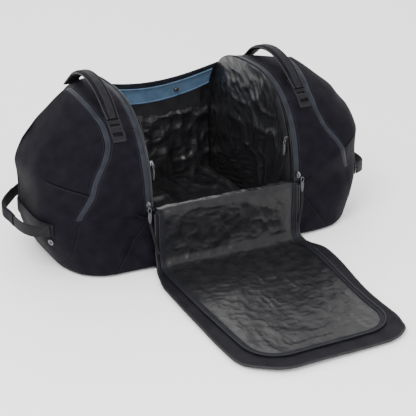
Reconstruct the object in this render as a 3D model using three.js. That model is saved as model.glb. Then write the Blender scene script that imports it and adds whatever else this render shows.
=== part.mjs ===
// Ski boot bag with a central compartment, a boot pod at each end and a front panel that zips off to lie
// on the floor as a changing mat. Millimetres; +X along the bag, +Y to the back, +Z up. The origin is on
// the floor under the middle of the bag, and the mat is modelled laid open in front of it.
import * as THREE from "three";

// Bag envelope
const OPENING_HALF = 171; // half width of the central opening, between the two zip arches
const MID_Y = 10; // the crown runs along this line
const SIDE_Z = 120; // height where the upright sides turn into the arch
const ARCH_RISE = 227; // from SIDE_Z to the crown
const ARCH_HALF = 203; // half depth at SIDE_Z
const BASE_HALF = { front: 215, rear: 198 };
const ARCH_POWER = { front: 2.4, rear: 3.1 }; // the rear shoulder is squarer than the front one
const LEG = 0.3; // share of the side parameter used below SIDE_Z
const END_LENGTH = [[0, 351], [100, 391], [200, 393], [250, 380], [285, 353], [315, 318], [338, 292], [347, 280]];
const POD_ZIP_X = [[130, 326], [169, 305], [206, 286], [250, 257], [283, 245], [303, 245], [319, 250], [347, 262]];
// Outline of a pod seen from above: [share of its length, share of its half depth]. The front is squarer.
const PLAN = {
  front: [[0, 1], [0.3, 1], [0.5, 0.985], [0.65, 0.945], [0.82, 0.835], [0.93, 0.66], [0.98, 0.46], [1, 0]],
  rear: [[0, 1], [0.3, 0.9], [0.5, 0.756], [0.65, 0.613], [0.82, 0.403], [0.93, 0.215], [0.98, 0.092], [1, 0]],
};
// Share of its half depth that a pod loses at the nose by the time it reaches the crown
const TAPER = { front: 0.1, rear: 0.8 };

// Cloth and boards
const SHELL = 3; // padded outer fabric
const GAP = 0.4; // between neighbouring pieces
const SEAM = 1; // between neighbouring pieces that curve together
const BASE_THICK = 4;
const BOARD_THICK = 3;
const POD_SPLIT_Z = 130; // the pod cap opens above this height
const TAPE_HALF = 5; // half width of the pod zip tape
const ARCH_TAPE = 12; // width of the zip tape along an arch and along the rear edge
const DIVIDER_THICK = 4;
const DIVIDER_X = 165.5; // inner face of a divider
const WALL_HALF = 164.5; // half width of the front and rear walls, between the dividers
const REAR_TOP = { middle: 262, corner: 294 };

// Front panel, laid open
const HINGE_Z = 129; // top edge of the front wall
const MAT_TOP = 5.6; // lining side of the mat, where the fold lines are
const DROP_Y = -217.5; // lining side of the hanging section
const DROP_HALF = 172;
const MAT_LENGTHS = [150, 150, 163];
// Half widths against distance from the first fold
const MAT_SHELL = { half: [[0, 174], [40, 198], [300, 182], [463, 178]], length: 463, corner: 85 };
const MAT_ZIP = { half: [[0, 166], [60, 170], [310, 156], [424, 152]], length: 424, corner: 70 };
const FABRIC = 3.2;
const LINING = 1;
const MAT_TAPE = 12; // width of the zip tape

// Handles, tabs and sliders
const GRAB = { x: 221, front: [-95, 338], rear: [85, 353], rise: 29, width: 28, footWidth: 13, thick: 9 };
const LASH = { width: 30, from: 96, to: 150, thick: 2.2 };
const END_BAND = { z: 105, width: 25, reach: 150, thick: 1.8 };
const END_LOOP = { reach: 128, ends: 8, middle: 31, thick: 4 };
const SLIDER = { width: 9, height: 14, depth: 6 };
const LIFT = 1.2; // trim sewn on the shell stands this far off it
const LINING_LIFT = 2.6; // and the hem and pocket this far off the inside of the rear wall

const group = new THREE.Group();
const SIDES = [["left", -1], ["right", 1]];

function add(name, geometry, colour, roughness = 0.85, metalness = 0) {
  const mesh = new THREE.Mesh(geometry, new THREE.MeshStandardMaterial({ color: colour, roughness, metalness }));
  mesh.name = name;
  group.add(mesh);
}

const SHELL_COLOUR = 0x26252b;
const TAPE_COLOUR = 0x4a545f;
const LINING_COLOUR = 0x1a1a1c;
const WEBBING_COLOUR = 0x1c1c21;
const HEM_COLOUR = 0x35566a;
const METAL_COLOUR = 0x8d9095;

// Straight-line interpolation in a table of [key, value].
function lookUp(table, key) {
  const last = table.length - 1;
  if (key <= table[0][0]) return table[0][1];
  if (key >= table[last][0]) return table[last][1];
  const i = table.findIndex((row) => row[0] > key);
  const [k0, v0] = table[i - 1];
  const [k1, v1] = table[i];
  return v0 + ((v1 - v0) * (key - k0)) / (k1 - k0);
}

// Side profile: s runs from 0 at the floor to 1 at the crown, at the front or at the rear.
function profile(end, s) {
  if (s < LEG) {
    const f = s / LEG;
    return { z: f * SIDE_Z, half: THREE.MathUtils.lerp(BASE_HALF[end], ARCH_HALF, f) };
  }
  const angle = ((s - LEG) / (1 - LEG)) * (Math.PI / 2);
  const p = 2 / ARCH_POWER[end];
  return {
    z: SIDE_Z + ARCH_RISE * Math.pow(Math.sin(angle), p),
    half: ARCH_HALF * Math.pow(Math.max(Math.cos(angle), 0), p),
  };
}

// The value of s at height z.
function sideAt(end, z) {
  if (z < SIDE_Z) return (LEG * z) / SIDE_Z;
  const sine = Math.pow((z - SIDE_Z) / ARCH_RISE, ARCH_POWER[end] / 2);
  return LEG + ((1 - LEG) * Math.asin(Math.min(sine, 1))) / (Math.PI / 2);
}

const plan = {
  front: new THREE.SplineCurve(PLAN.front.map(([x, y]) => new THREE.Vector2(x, y))),
  rear: new THREE.SplineCurve(PLAN.rear.map(([x, y]) => new THREE.Vector2(x, y))),
};

// A point of the pod skin. t goes 0 to 1 from the front floor over the crown to the rear floor, and w goes
// 0 to 1 from the arch to the nose.
function skin(side, t, w) {
  const end = t < 0.5 ? "front" : "rear";
  const { z, half } = profile(end, 1 - Math.abs(2 * t - 1));
  const p = plan[end].getPoint(w);
  const x = OPENING_HALF + (lookUp(END_LENGTH, z) - OPENING_HALF) * p.x;
  const rise = Math.max((z - SIDE_Z) / ARCH_RISE, 0);
  const depth = half * p.y * (1 - TAPER[end] * w * Math.pow(rise, 1.5));
  return new THREE.Vector3(side * x, MID_Y + (end === "front" ? -1 : 1) * depth, z);
}

function tFront(z) {
  return sideAt("front", z) / 2;
}

function tRear(z) {
  return 1 - sideAt("rear", z) / 2;
}

// The value of w where the skin is at distance x from the middle of the bag.
function wAt(t, x) {
  let [lo, hi] = [0, 1];
  for (let i = 0; i < 40; i++) {
    const mid = (lo + hi) / 2;
    if (skin(1, t, mid).x < x) lo = mid;
    else hi = mid;
  }
  return lo;
}

function steps(from, to, count) {
  return Array.from({ length: count + 1 }, (_, i) => from + ((to - from) * i) / count);
}

// A closed solid: the surface through a grid of points, thickened from offset `low` to offset `high`
// along its normals, which point away from `inside`. Grid points that coincide are welded.
function sheet(grid, low, high, inside) {
  const points = [];
  const known = new Map();
  const ids = grid.map((row) =>
    row.map((p) => {
      const key = [p.x, p.y, p.z].map((v) => Math.round(v * 100)).join();
      if (!known.has(key)) {
        known.set(key, points.length);
        points.push(p);
      }
      return known.get(key);
    }),
  );
  let faces = [];
  for (let i = 1; i < ids.length; i++)
    for (let j = 1; j < ids[i].length; j++) {
      faces.push([ids[i - 1][j - 1], ids[i][j - 1], ids[i][j]]);
      faces.push([ids[i - 1][j - 1], ids[i][j], ids[i - 1][j]]);
    }
  faces = faces.filter(([a, b, c]) => a !== b && b !== c && a !== c);
  const areaNormal = ([a, b, c]) =>
    new THREE.Vector3().subVectors(points[b], points[a]).cross(new THREE.Vector3().subVectors(points[c], points[a]));
  const facing = faces.reduce((sum, f) => {
    const out = new THREE.Vector3().subVectors(points[f[0]], inside);
    return sum + areaNormal(f).dot(out);
  }, 0);
  if (facing < 0) faces = faces.map(([a, b, c]) => [a, c, b]);
  const normals = points.map(() => new THREE.Vector3());
  for (const f of faces) for (const v of f) normals[v].add(areaNormal(f));
  normals.forEach((n) => n.normalize());
  return closedSolid(points, normals, faces, low, high);
}

function closedSolid(points, normals, faces, low, high) {
  const n = points.length;
  const shifted = (d) => points.flatMap((p, i) => new THREE.Vector3().copy(p).addScaledVector(normals[i], d).toArray());
  const edges = new Set(faces.flatMap(([a, b, c]) => [`${a},${b}`, `${b},${c}`, `${c},${a}`]));
  const index = [];
  for (const [a, b, c] of faces) index.push(a, b, c, a + n, c + n, b + n);
  for (const edge of edges) {
    const [a, b] = edge.split(",").map(Number);
    if (!edges.has(`${b},${a}`)) index.push(b, a, a + n, b, a + n, b + n);
  }
  const geometry = new THREE.BufferGeometry();
  geometry.setAttribute("position", new THREE.Float32BufferAttribute([...shifted(high), ...shifted(low)], 3));
  geometry.setIndex(index);
  return geometry;
}

// A flat plate: an outline in two axes, extruded along a third from `at` by `depth`.
function plate(outline, depth, basis, at) {
  const geometry = new THREE.ExtrudeGeometry(new THREE.Shape(outline), { depth, bevelEnabled: false });
  geometry.applyMatrix4(new THREE.Matrix4().makeBasis(...basis));
  geometry.translate(at.x, at.y, at.z);
  return geometry;
}

const X = new THREE.Vector3(1, 0, 0);
const Y = new THREE.Vector3(0, 1, 0);
const Z = new THREE.Vector3(0, 0, 1);
const ORIGIN = new THREE.Vector3();
const BAG_MIDDLE = new THREE.Vector3(0, MID_Y, SIDE_Z);

function podMiddle(side) {
  return new THREE.Vector3(side * (OPENING_HALF + 60), MID_Y, SIDE_Z);
}

// A band of the skin between two distances from the middle of the bag, each a function of height.
function skinBand(side, ts, nearX, farX, columns) {
  return ts.map((t) => {
    const z = skin(side, t, 0).z;
    return steps(nearX(z), farX(z), columns).map((x) => skin(side, t, wAt(t, x)));
  });
}

// ---- Base ----

function base() {
  const outline = [];
  for (const [t, w0, w1, side] of [[0, 0, 1, 1], [1, 1, 0, 1], [1, 0, 1, -1], [0, 1, 0, -1]])
    for (const w of steps(w0, w1, 10)) {
      const p = skin(side, t, w);
      outline.push(new THREE.Vector2(p.x, p.y));
    }
  const clean = outline.filter((p, i) => i === 0 || p.distanceTo(outline[i - 1]) > GAP);
  add("base_panel", plate(clean, BASE_THICK, [X, Y, Z], ORIGIN), SHELL_COLOUR);
  const [x, front, rear] = [WALL_HALF - 4, MID_Y - BASE_HALF.front + 8, MID_Y + BASE_HALF.rear - 8];
  const board = [[-x, front], [x, front], [x, rear], [-x, rear]].map(([a, b]) => new THREE.Vector2(a, b));
  const up = new THREE.Vector3(0, 0, BASE_THICK + GAP);
  add("base_board", plate(board, BOARD_THICK, [X, Y, Z], up), LINING_COLOUR, 0.6);
}

// ---- Walls of the central compartment ----

const WALL_FOOT = BASE_THICK + GAP;

function wallPoint(end, x, z) {
  const { half } = profile(end, sideAt(end, z));
  return new THREE.Vector3(x, MID_Y + (end === "front" ? -1 : 1) * half, z);
}

function frontWall() {
  const grid = steps(WALL_FOOT, POD_SPLIT_Z - 2, 3).map((z) =>
    steps(-WALL_HALF, WALL_HALF, 2).map((x) => wallPoint("front", x, z)),
  );
  add("front_wall", sheet(grid, -SHELL, 0, BAG_MIDDLE), SHELL_COLOUR);
}

// The rear wall's top edge sags between the two arches.
function rearTop(x) {
  return THREE.MathUtils.lerp(REAR_TOP.middle, REAR_TOP.corner, (x / WALL_HALF) ** 2);
}

// A piece on the rear wall between two heights measured down from its top edge, or up from the floor.
function rearGrid(halfWidth, low, high, rows) {
  const top = (x) => rearTop(x) + high;
  return steps(0, 1, rows).map((f) =>
    steps(-halfWidth, halfWidth, 8).map((x) => wallPoint("rear", x, THREE.MathUtils.lerp(low(x), top(x), f))),
  );
}

function rearWall() {
  const edge = (drop) => (x) => rearTop(x) - drop;
  const foot = () => WALL_FOOT;
  const hemHalf = WALL_HALF - 10;
  add("rear_wall", sheet(rearGrid(WALL_HALF, foot, 0, 8), -SHELL, 0, BAG_MIDDLE), SHELL_COLOUR);
  add("rear_zip_tape", sheet(rearGrid(WALL_HALF, edge(-SEAM), ARCH_TAPE, 1), -2, 0, BAG_MIDDLE), TAPE_COLOUR);
  const hem = rearGrid(hemHalf, edge(40), -2, 3);
  const lift = -SHELL - LINING_LIFT;
  add("rear_hem", sheet(hem, lift - 1.2, lift, BAG_MIDDLE), HEM_COLOUR, 0.7);
  const pocket = rearGrid(hemHalf - 16, edge(98), -44, 3);
  add("rear_pocket", sheet(pocket, lift - 1.6, lift, BAG_MIDDLE), LINING_COLOUR, 0.6);
  for (const [name, x] of [["left", -73], ["right", 73]]) add(`hem_snap_${name}`, snap(x), WEBBING_COLOUR, 0.4);
}

// A round press stud on the inner face of the hem.
function snap(x) {
  const z = rearTop(x) - 20;
  const [low, high] = [wallPoint("rear", x, z - 5), wallPoint("rear", x, z + 5)];
  const up = new THREE.Vector3().subVectors(high, low).normalize();
  const inward = new THREE.Vector3().crossVectors(up, X).negate();
  const outline = [[0, 0], [6, 0], [6, 1], [3.5, 2.4], [0, 2.4]].map(([r, h]) => new THREE.Vector2(r, h));
  const geometry = new THREE.LatheGeometry(outline, 16);
  geometry.applyMatrix4(new THREE.Matrix4().makeBasis(X, inward, new THREE.Vector3().crossVectors(X, inward)));
  const at = low.lerp(high, 0.5).addScaledVector(inward, SHELL + LINING_LIFT + 2.2);
  geometry.translate(at.x, at.y, at.z);
  return geometry;
}

function dividers() {
  const inset = 1.5;
  const ts = [...steps(tFront(WALL_FOOT), 0.5, 14), ...steps(0.5, tRear(WALL_FOOT), 14).slice(1)];
  const outline = ts.map((t) => {
    const p = skin(1, t, 0);
    const inward = new THREE.Vector2(MID_Y - p.y, Math.min(SIDE_Z - p.z, 0)).setLength(inset);
    return new THREE.Vector2(p.y + inward.x, p.z + inward.y);
  });
  for (const [name, side] of SIDES) {
    const from = side > 0 ? DIVIDER_X : -DIVIDER_X - DIVIDER_THICK;
    const at = new THREE.Vector3(from, 0, 0);
    add(`divider_${name}`, plate(outline, DIVIDER_THICK, [Y, Z, X], at), LINING_COLOUR, 0.55);
  }
}

// ---- Pods ----

// Values of t from POD_SPLIT_Z at the front, over the crown, to the same height at the rear. The front and
// rear heights match, so that a pod's two halves meet at the nose.
const ARCH_HEIGHTS = steps(sideAt("front", POD_SPLIT_Z + GAP), 1, 13).map((s) => profile("front", s).z);
const OVER = [...ARCH_HEIGHTS.map(tFront), ...[...ARCH_HEIGHTS].reverse().slice(1).map(tRear)];
const zipX = (shift) => (z) => lookUp(POD_ZIP_X, z) + shift;

function podBands(name, side) {
  const tapeEdge = OPENING_HALF + ARCH_TAPE;
  const arch = skinBand(side, OVER, () => OPENING_HALF, () => tapeEdge, 1);
  add(`arch_tape_${name}`, sheet(arch, -2, 0, podMiddle(side)), TAPE_COLOUR);
  const collar = skinBand(side, OVER, () => tapeEdge + GAP, zipX(-TAPE_HALF - SEAM), 4);
  add(`collar_${name}`, sheet(collar, -SHELL, 0, podMiddle(side)), SHELL_COLOUR);
  const zip = skinBand(side, OVER, zipX(-TAPE_HALF), zipX(TAPE_HALF), 1);
  add(`pod_tape_${name}`, sheet(zip, -2, 0, podMiddle(side)), TAPE_COLOUR);
  const cap = OVER.map((t) => {
    const w0 = wAt(t, zipX(TAPE_HALF + SEAM)(skin(side, t, 0).z));
    return steps(w0, 1, 7).map((w) => skin(side, t, w));
  });
  add(`pod_cap_${name}`, sheet(cap, -SHELL, 0, podMiddle(side)), SHELL_COLOUR);
}

// A strip of the skin that runs round the nose from the front to the rear, between heights.
function roundNose(side, heights, ws) {
  return heights.map((z) => [
    ...ws.map((w) => skin(side, tFront(z), w)),
    ...[...ws].reverse().slice(1).map((w) => skin(side, tRear(z), w)),
  ]);
}

function podLower(name, side) {
  const heights = steps(WALL_FOOT, POD_SPLIT_Z - GAP, 3);
  const grid = roundNose(side, heights, steps(0, 1, 10));
  add(`pod_lower_${name}`, sheet(grid, -SHELL, 0, podMiddle(side)), SHELL_COLOUR);
}

// ---- Webbing ----

function grabHandle(side) {
  const path = steps(-1, 1, 14).map((f) => ({
    y: THREE.MathUtils.lerp(GRAB.front[0], GRAB.rear[0], (f + 1) / 2),
    z: THREE.MathUtils.lerp(GRAB.front[1], GRAB.rear[1], (f + 1) / 2) + GRAB.rise * (1 - f * f),
    width: THREE.MathUtils.lerp(GRAB.width, GRAB.footWidth, f ** 8),
  }));
  const grid = path.map(({ y, z, width }) =>
    [-0.5, 0.5].map((f) => new THREE.Vector3(side * GRAB.x + width * f, y, z)),
  );
  const under = new THREE.Vector3(side * GRAB.x, 0, SIDE_Z);
  return sheet(grid, -GRAB.thick / 2, GRAB.thick / 2, under);
}

// A flat tab that follows the collar down from a handle's foot, at the front or at the rear.
function lashTab(side, end) {
  const sign = end === "front" ? -1 : 1;
  const ts = steps(0, 1, 40).map((f) => 0.5 + sign * 0.3 * f);
  const on = ts.filter((t) => {
    const reach = sign * (skin(side, t, 0).y);
    return reach > LASH.from && reach < LASH.to;
  });
  const [nearX, farX] = [GRAB.x - LASH.width / 2, GRAB.x + LASH.width / 2];
  const grid = skinBand(side, on, () => nearX, () => farX, 2);
  return sheet(grid, LIFT, LIFT + LASH.thick, podMiddle(side));
}

// The part of a strip round the nose that lies within `reach` of the crown line.
function noseStrip(side, reach, half, columns) {
  const heights = [END_BAND.z - half, END_BAND.z + half];
  return heights.map((z) => {
    const wEnd = (t) => {
      const inside = steps(0, 1, 200).find((w) => Math.abs(skin(side, t, w).y - MID_Y) < reach);
      return inside;
    };
    const front = steps(wEnd(tFront(z)), 1, columns).map((w) => skin(side, tFront(z), w));
    const rear = steps(1, wEnd(tRear(z)), columns).map((w) => skin(side, tRear(z), w));
    return [...front, ...rear.slice(1)];
  });
}

function endLoop(side) {
  const row = noseStrip(side, END_LOOP.reach, 0, 9)[0];
  const last = row.length - 1;
  const path = row.map((p, i) => {
    const out = new THREE.Vector3().subVectors(row[Math.min(i + 1, last)], row[Math.max(i - 1, 0)]);
    out.cross(Z).multiplyScalar(side).normalize();
    const bulge = 1 - (2 * i / last - 1) ** 2;
    return p.clone().addScaledVector(out, THREE.MathUtils.lerp(END_LOOP.ends, END_LOOP.middle, bulge));
  });
  const half = END_BAND.width / 2;
  const grid = [-half, half].map((dz) => path.map((p) => p.clone().setZ(END_BAND.z + dz)));
  return sheet(grid, 0, END_LOOP.thick, podMiddle(side).setZ(END_BAND.z));
}

function webbing() {
  for (const [name, side] of SIDES) {
    add(`grab_handle_${name}`, grabHandle(side), WEBBING_COLOUR, 0.8);
    add(`lash_tab_${name}`, lashTab(side, "front"), WEBBING_COLOUR, 0.8);
    add(`rear_tab_${name}`, lashTab(side, "rear"), WEBBING_COLOUR, 0.8);
    const band = noseStrip(side, END_BAND.reach, END_BAND.width / 2, 9);
    add(`end_band_${name}`, sheet(band, LIFT, LIFT + END_BAND.thick, podMiddle(side)), WEBBING_COLOUR, 0.8);
    add(`end_handle_${name}`, endLoop(side), WEBBING_COLOUR, 0.8);
  }
}

// ---- Small hardware ----

// A frame that stands on the pod skin: its Z axis is the skin's normal and its Y axis points up the skin.
function onSkin(side, t, w, lift) {
  const at = skin(side, t, w);
  const along = new THREE.Vector3().subVectors(skin(side, t, w - 0.01), skin(side, t, w + 0.01));
  const upward = t < 0.5 ? 0.004 : -0.004;
  const up = new THREE.Vector3().subVectors(skin(side, t + upward, w), at).normalize();
  const normal = new THREE.Vector3().crossVectors(along, up).normalize();
  if (normal.dot(new THREE.Vector3().subVectors(at, podMiddle(side))) < 0) normal.negate();
  const across = new THREE.Vector3().crossVectors(up, normal).normalize();
  const frame = new THREE.Matrix4().makeBasis(across, new THREE.Vector3().crossVectors(normal, across), normal);
  return frame.setPosition(at.addScaledVector(normal, lift));
}

function roundedBar(width, height, radius) {
  const [x, y] = [width / 2, height / 2];
  const shape = new THREE.Shape();
  shape.moveTo(-x + radius, -y).lineTo(x - radius, -y).absarc(x - radius, -y + radius, radius, -Math.PI / 2, 0);
  shape.absarc(x - radius, y - radius, radius, 0, Math.PI / 2);
  shape.absarc(-x + radius, y - radius, radius, Math.PI / 2, Math.PI);
  shape.absarc(-x + radius, -y + radius, radius, Math.PI, 1.5 * Math.PI);
  return shape;
}

// A zip slider's body, flat face on the tape.
function sliderBody() {
  const shape = roundedBar(SLIDER.width, SLIDER.height, 3);
  const options = { depth: SLIDER.depth, bevelEnabled: false, curveSegments: 3 };
  return new THREE.ExtrudeGeometry(shape, options);
}

// A pull: a stiff tab that narrows into a soft strip, hanging from its top end at the origin.
function pull(tabLength, tailLength) {
  const [tab, tail] = [5, 3.5];
  const foot = -tabLength - tailLength;
  const outline = [[-tab, 0], [-tab, -tabLength], [-tail, -tabLength - 1], [-tail, foot]];
  const mirrored = outline.map(([x, y]) => [-x, y]).reverse();
  const shape = new THREE.Shape([...outline, ...mirrored].map(([x, y]) => new THREE.Vector2(x, y)));
  return new THREE.ExtrudeGeometry(shape, { depth: 2.2, bevelEnabled: false });
}

function mainSliders() {
  const [x, z] = [OPENING_HALF + 9, 146];
  const y = wallPoint("front", x, z).y;
  for (const [name, side] of SIDES) {
    const body = sliderBody();
    body.applyMatrix4(new THREE.Matrix4().makeBasis(X, Z, Y.clone().negate()));
    body.translate(side * x, y - 1.5, z);
    add(`main_slider_${name}`, body, METAL_COLOUR, 0.4, 0.8);
    const tab = pull(32, 68);
    tab.applyMatrix4(new THREE.Matrix4().makeBasis(X, Z, Y.clone().negate()));
    tab.translate(side * (x + 4), -205.2, z - 4);
    add(`main_pull_${name}`, tab, METAL_COLOUR, 0.6);
  }
}

function podSliders() {
  const z = 190;
  const t = tRear(z);
  const w = wAt(t, lookUp(POD_ZIP_X, z));
  for (const [name, side] of SIDES) {
    add(`pod_slider_${name}`, sliderBody().applyMatrix4(onSkin(side, t, w, 1)), METAL_COLOUR, 0.4, 0.8);
    const frame = onSkin(side, t, w, SLIDER.depth + 2);
    const hang = new THREE.Vector3().setFromMatrixColumn(frame, 2).setZ(0).normalize();
    const at = new THREE.Vector3().setFromMatrixPosition(frame);
    const tab = pull(30, 30);
    tab.applyMatrix4(new THREE.Matrix4().makeBasis(new THREE.Vector3().crossVectors(Z, hang), Z, hang));
    tab.translate(at.x, at.y, at.z);
    add(`pod_pull_${name}`, tab, METAL_COLOUR, 0.6);
  }
}

function dividerSliders() {
  const [y, z, off] = [-172, 225, 1];
  for (const [name, side] of SIDES) {
    const inward = new THREE.Matrix4().makeBasis(new THREE.Vector3(0, -side, 0), Z, new THREE.Vector3(-side, 0, 0));
    const body = sliderBody().applyMatrix4(inward);
    body.translate(side * (DIVIDER_X - off), y, z);
    add(`divider_slider_${name}`, body, METAL_COLOUR, 0.4, 0.8);
    const tab = pull(30, 8).applyMatrix4(inward);
    tab.translate(side * (DIVIDER_X - off - SLIDER.depth - 0.6), y, z - 2);
    add(`divider_pull_${name}`, tab, METAL_COLOUR, 0.6);
  }
}

function eyelets() {
  const ring = [[3, 0], [7, 0], [7, 1], [5, 2], [3, 1]].map(([r, h]) => new THREE.Vector2(r, h));
  const z = 74;
  const t = tFront(z);
  const w = steps(0, 1, 200).find((v) => skin(1, t, v).y - MID_Y > -140);
  for (const [name, side] of SIDES) {
    const geometry = new THREE.LatheGeometry([...ring, ring[0]], 16).rotateX(Math.PI / 2);
    add(`eyelet_${name}`, geometry.applyMatrix4(onSkin(side, t, w, LIFT)), METAL_COLOUR, 0.5, 0.3);
  }
}

// ---- Front panel, laid open as the mat ----

// Half width of a mat layer at a distance from the first fold, rounded off at the two far corners.
function matHalf(layer, d, inset = 0) {
  const radius = layer.corner - inset;
  const past = Math.max(d - (layer.length - inset - radius), 0);
  const straight = lookUp(layer.half, d) - inset;
  return straight - radius + Math.sqrt(Math.max(radius ** 2 - past ** 2, 0));
}

// A piece of the mat between two distances from the first fold, from z `low` to z `high`.
function matPiece(ds, edges, low, high) {
  const grid = ds.map((d) => edges(d).map((x) => new THREE.Vector3(x, DROP_Y - d, (low + high) / 2)));
  const thick = (high - low) / 2;
  return sheet(grid, -thick, thick, new THREE.Vector3(0, DROP_Y - ds[0], -1000));
}

function matSection(index, from, to) {
  const name = `mat_${index + 1}`;
  const near = from + (index === 0 ? 1 : GAP / 2);
  const isLast = index === MAT_LENGTHS.length - 1;
  const distances = (layer, inset) => {
    if (!isLast) return steps(near, to - GAP / 2, 3);
    const bend = layer.length - layer.corner;
    return [...steps(near, bend, 2), ...steps(bend, layer.length - inset - 0.5, 9).slice(1)];
  };
  const across = (layer, inset) => (d) => steps(-matHalf(layer, d, inset), matHalf(layer, d, inset), 4);
  const layer = (shape, inset, low, high) =>
    matPiece(distances(shape, inset), across(shape, inset), low, high);
  const low = FABRIC + GAP;
  add(`${name}_shell`, layer(MAT_SHELL, 0, 0, FABRIC), SHELL_COLOUR);
  add(`${name}_lining`, layer(MAT_ZIP, MAT_TAPE + SEAM, low, low + LINING), LINING_COLOUR, 0.35);
  if (isLast) add(`${name}_zip_tape`, farTape(distances, low), TAPE_COLOUR);
  else
    for (const [sideName, side] of SIDES) {
      const edge = (d) => [MAT_TAPE, 0].map((inset) => side * matHalf(MAT_ZIP, d, inset));
      const tape = matPiece(distances(MAT_ZIP, 0), edge, low, MAT_TOP);
      add(`${name}_zip_tape_${sideName}`, tape, TAPE_COLOUR);
    }
}

// The zip tape round the far end of the mat, a U of constant width.
function farTape(distances, low) {
  const edge = (inset, sign) =>
    distances(MAT_ZIP, inset).map((d) => new THREE.Vector2(sign * matHalf(MAT_ZIP, d, inset), DROP_Y - d));
  const outline = [
    ...edge(0, -1),
    ...edge(0, 1).reverse(),
    ...edge(MAT_TAPE, 1),
    ...edge(MAT_TAPE, -1).reverse(),
  ];
  return plate(outline, MAT_TOP - low, [X, Y, Z], new THREE.Vector3(0, 0, low));
}

// The section that hangs from the front wall's top edge to the floor.
function dropSection() {
  const [top, bottom] = [HINGE_Z - 1, MAT_TOP + 3];
  const behind = new THREE.Vector3(0, 0, HINGE_Z / 2);
  const piece = (from, to, low, high) => {
    const grid = [bottom, top].map((z) => steps(from, to, 2).map((x) => new THREE.Vector3(x, DROP_Y, z)));
    return sheet(grid, low, high, behind);
  };
  const lining = DROP_HALF - 18;
  const inner = -MAT_TOP + FABRIC + GAP;
  add("drop_shell", piece(-DROP_HALF, DROP_HALF, -MAT_TOP, -MAT_TOP + FABRIC), SHELL_COLOUR);
  add("drop_lining", piece(-lining, lining, inner, inner + LINING), LINING_COLOUR, 0.35);
  for (const [name, side] of SIDES) {
    const [from, to] = [side * (lining + GAP), side * (lining + MAT_TAPE)];
    add(`drop_zip_tape_${name}`, piece(from, to, inner, 0), TAPE_COLOUR);
  }
}

function frontPanel() {
  dropSection();
  let from = 0;
  MAT_LENGTHS.forEach((length, i) => {
    matSection(i, from, from + length);
    from += length;
  });
}

base();
frontWall();
rearWall();
dividers();
for (const [name, side] of SIDES) {
  podBands(name, side);
  podLower(name, side);
}
webbing();
mainSliders();
podSliders();
dividerSliders();
eyelets();
frontPanel();

export default group;
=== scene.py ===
"""The looks of the ski boot bag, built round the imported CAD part. Metres; +X along the bag, +Y to the back,
+Z up, with the origin on the floor under the bag's middle."""

import math

import bpy
import numpy as np
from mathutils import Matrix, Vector


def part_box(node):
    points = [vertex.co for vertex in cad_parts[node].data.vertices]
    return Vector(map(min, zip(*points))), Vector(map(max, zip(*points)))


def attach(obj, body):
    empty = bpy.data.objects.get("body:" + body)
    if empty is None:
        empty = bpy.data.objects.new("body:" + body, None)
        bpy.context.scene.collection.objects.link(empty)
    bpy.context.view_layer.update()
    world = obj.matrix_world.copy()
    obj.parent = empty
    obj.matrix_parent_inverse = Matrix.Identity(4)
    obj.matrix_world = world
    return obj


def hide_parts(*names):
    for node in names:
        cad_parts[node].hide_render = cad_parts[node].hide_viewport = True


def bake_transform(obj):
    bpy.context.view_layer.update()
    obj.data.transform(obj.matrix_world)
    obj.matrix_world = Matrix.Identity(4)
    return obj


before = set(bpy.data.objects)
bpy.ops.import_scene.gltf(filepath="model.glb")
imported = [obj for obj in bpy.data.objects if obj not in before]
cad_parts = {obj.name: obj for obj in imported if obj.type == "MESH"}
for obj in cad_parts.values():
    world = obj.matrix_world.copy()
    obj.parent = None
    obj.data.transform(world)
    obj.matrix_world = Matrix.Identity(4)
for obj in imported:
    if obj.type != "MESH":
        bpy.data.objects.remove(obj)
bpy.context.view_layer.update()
SIDES = (("left", -1), ("right", 1))

# Bag envelope, the same as the CAD source's
OPENING_HALF = 0.171
MID_Y = 0.010
SIDE_Z = 0.120
ARCH_RISE = 0.227
ARCH_HALF = 0.203
BASE_HALF = {"front": 0.215, "rear": 0.198}
ARCH_POWER = {"front": 2.4, "rear": 3.1}
LEG = 0.3
END_LENGTH = ((0, 0.351), (0.1, 0.391), (0.2, 0.393), (0.25, 0.380), (0.285, 0.353), (0.315, 0.318),
              (0.338, 0.292), (0.347, 0.280))
POD_ZIP_X = ((0.130, 0.326), (0.169, 0.305), (0.206, 0.286), (0.250, 0.257), (0.283, 0.245),
             (0.303, 0.245), (0.319, 0.250), (0.347, 0.262))
PLAN = {
    "front": ((0, 1), (0.3, 1), (0.5, 0.985), (0.65, 0.945), (0.82, 0.835), (0.93, 0.66),
              (0.98, 0.46), (1, 0)),
    "rear": ((0, 1), (0.3, 0.9), (0.5, 0.756), (0.65, 0.613), (0.82, 0.403), (0.93, 0.215),
             (0.98, 0.092), (1, 0)),
}
TAPER = {"front": 0.1, "rear": 0.8}
POD_SLIDER_Z = 0.190
SHELL = 0.003
FOOT_Z = 0.0044
SPLIT_Z = 0.130
TAPE_HALF = 0.005
ARCH_TAPE = 0.012
DIVIDER_X = 0.1655
WALL_HALF = 0.1645
LINING_HALF = 0.1635
LINING_Z = 0.0085
LINING_THICK = 0.0008
TAPE_THICK = 0.0016
BASE_Z = 0.0022
BASE_THICK = 0.0022
REAR_TOP = (0.262, 0.294)
GRAB_X = 0.221
END_Z = 0.105

# Front panel, laid open
DROP_Y = -0.2175
MAT_SHELL = {
    "half": ((0, 0.174), (0.03, 0.183), (0.09, 0.196), (0.3, 0.182), (0.463, 0.178)),
    "length": 0.463,
    "corner": 0.085,
}
MAT_ZIP = {
    "half": ((0, 0.166), (0.06, 0.170), (0.31, 0.156), (0.424, 0.152)),
    "length": 0.424,
    "corner": 0.070,
}
MAT_TAPE = 0.012
TRIM_START = -0.112


# ---- Numbers ----

def ramp(v, start, end):
    """0 before start, 1 after end, smooth between."""
    t = np.clip((v - start) / (end - start), 0, 1)
    return t * t * (3 - 2 * t)


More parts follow.
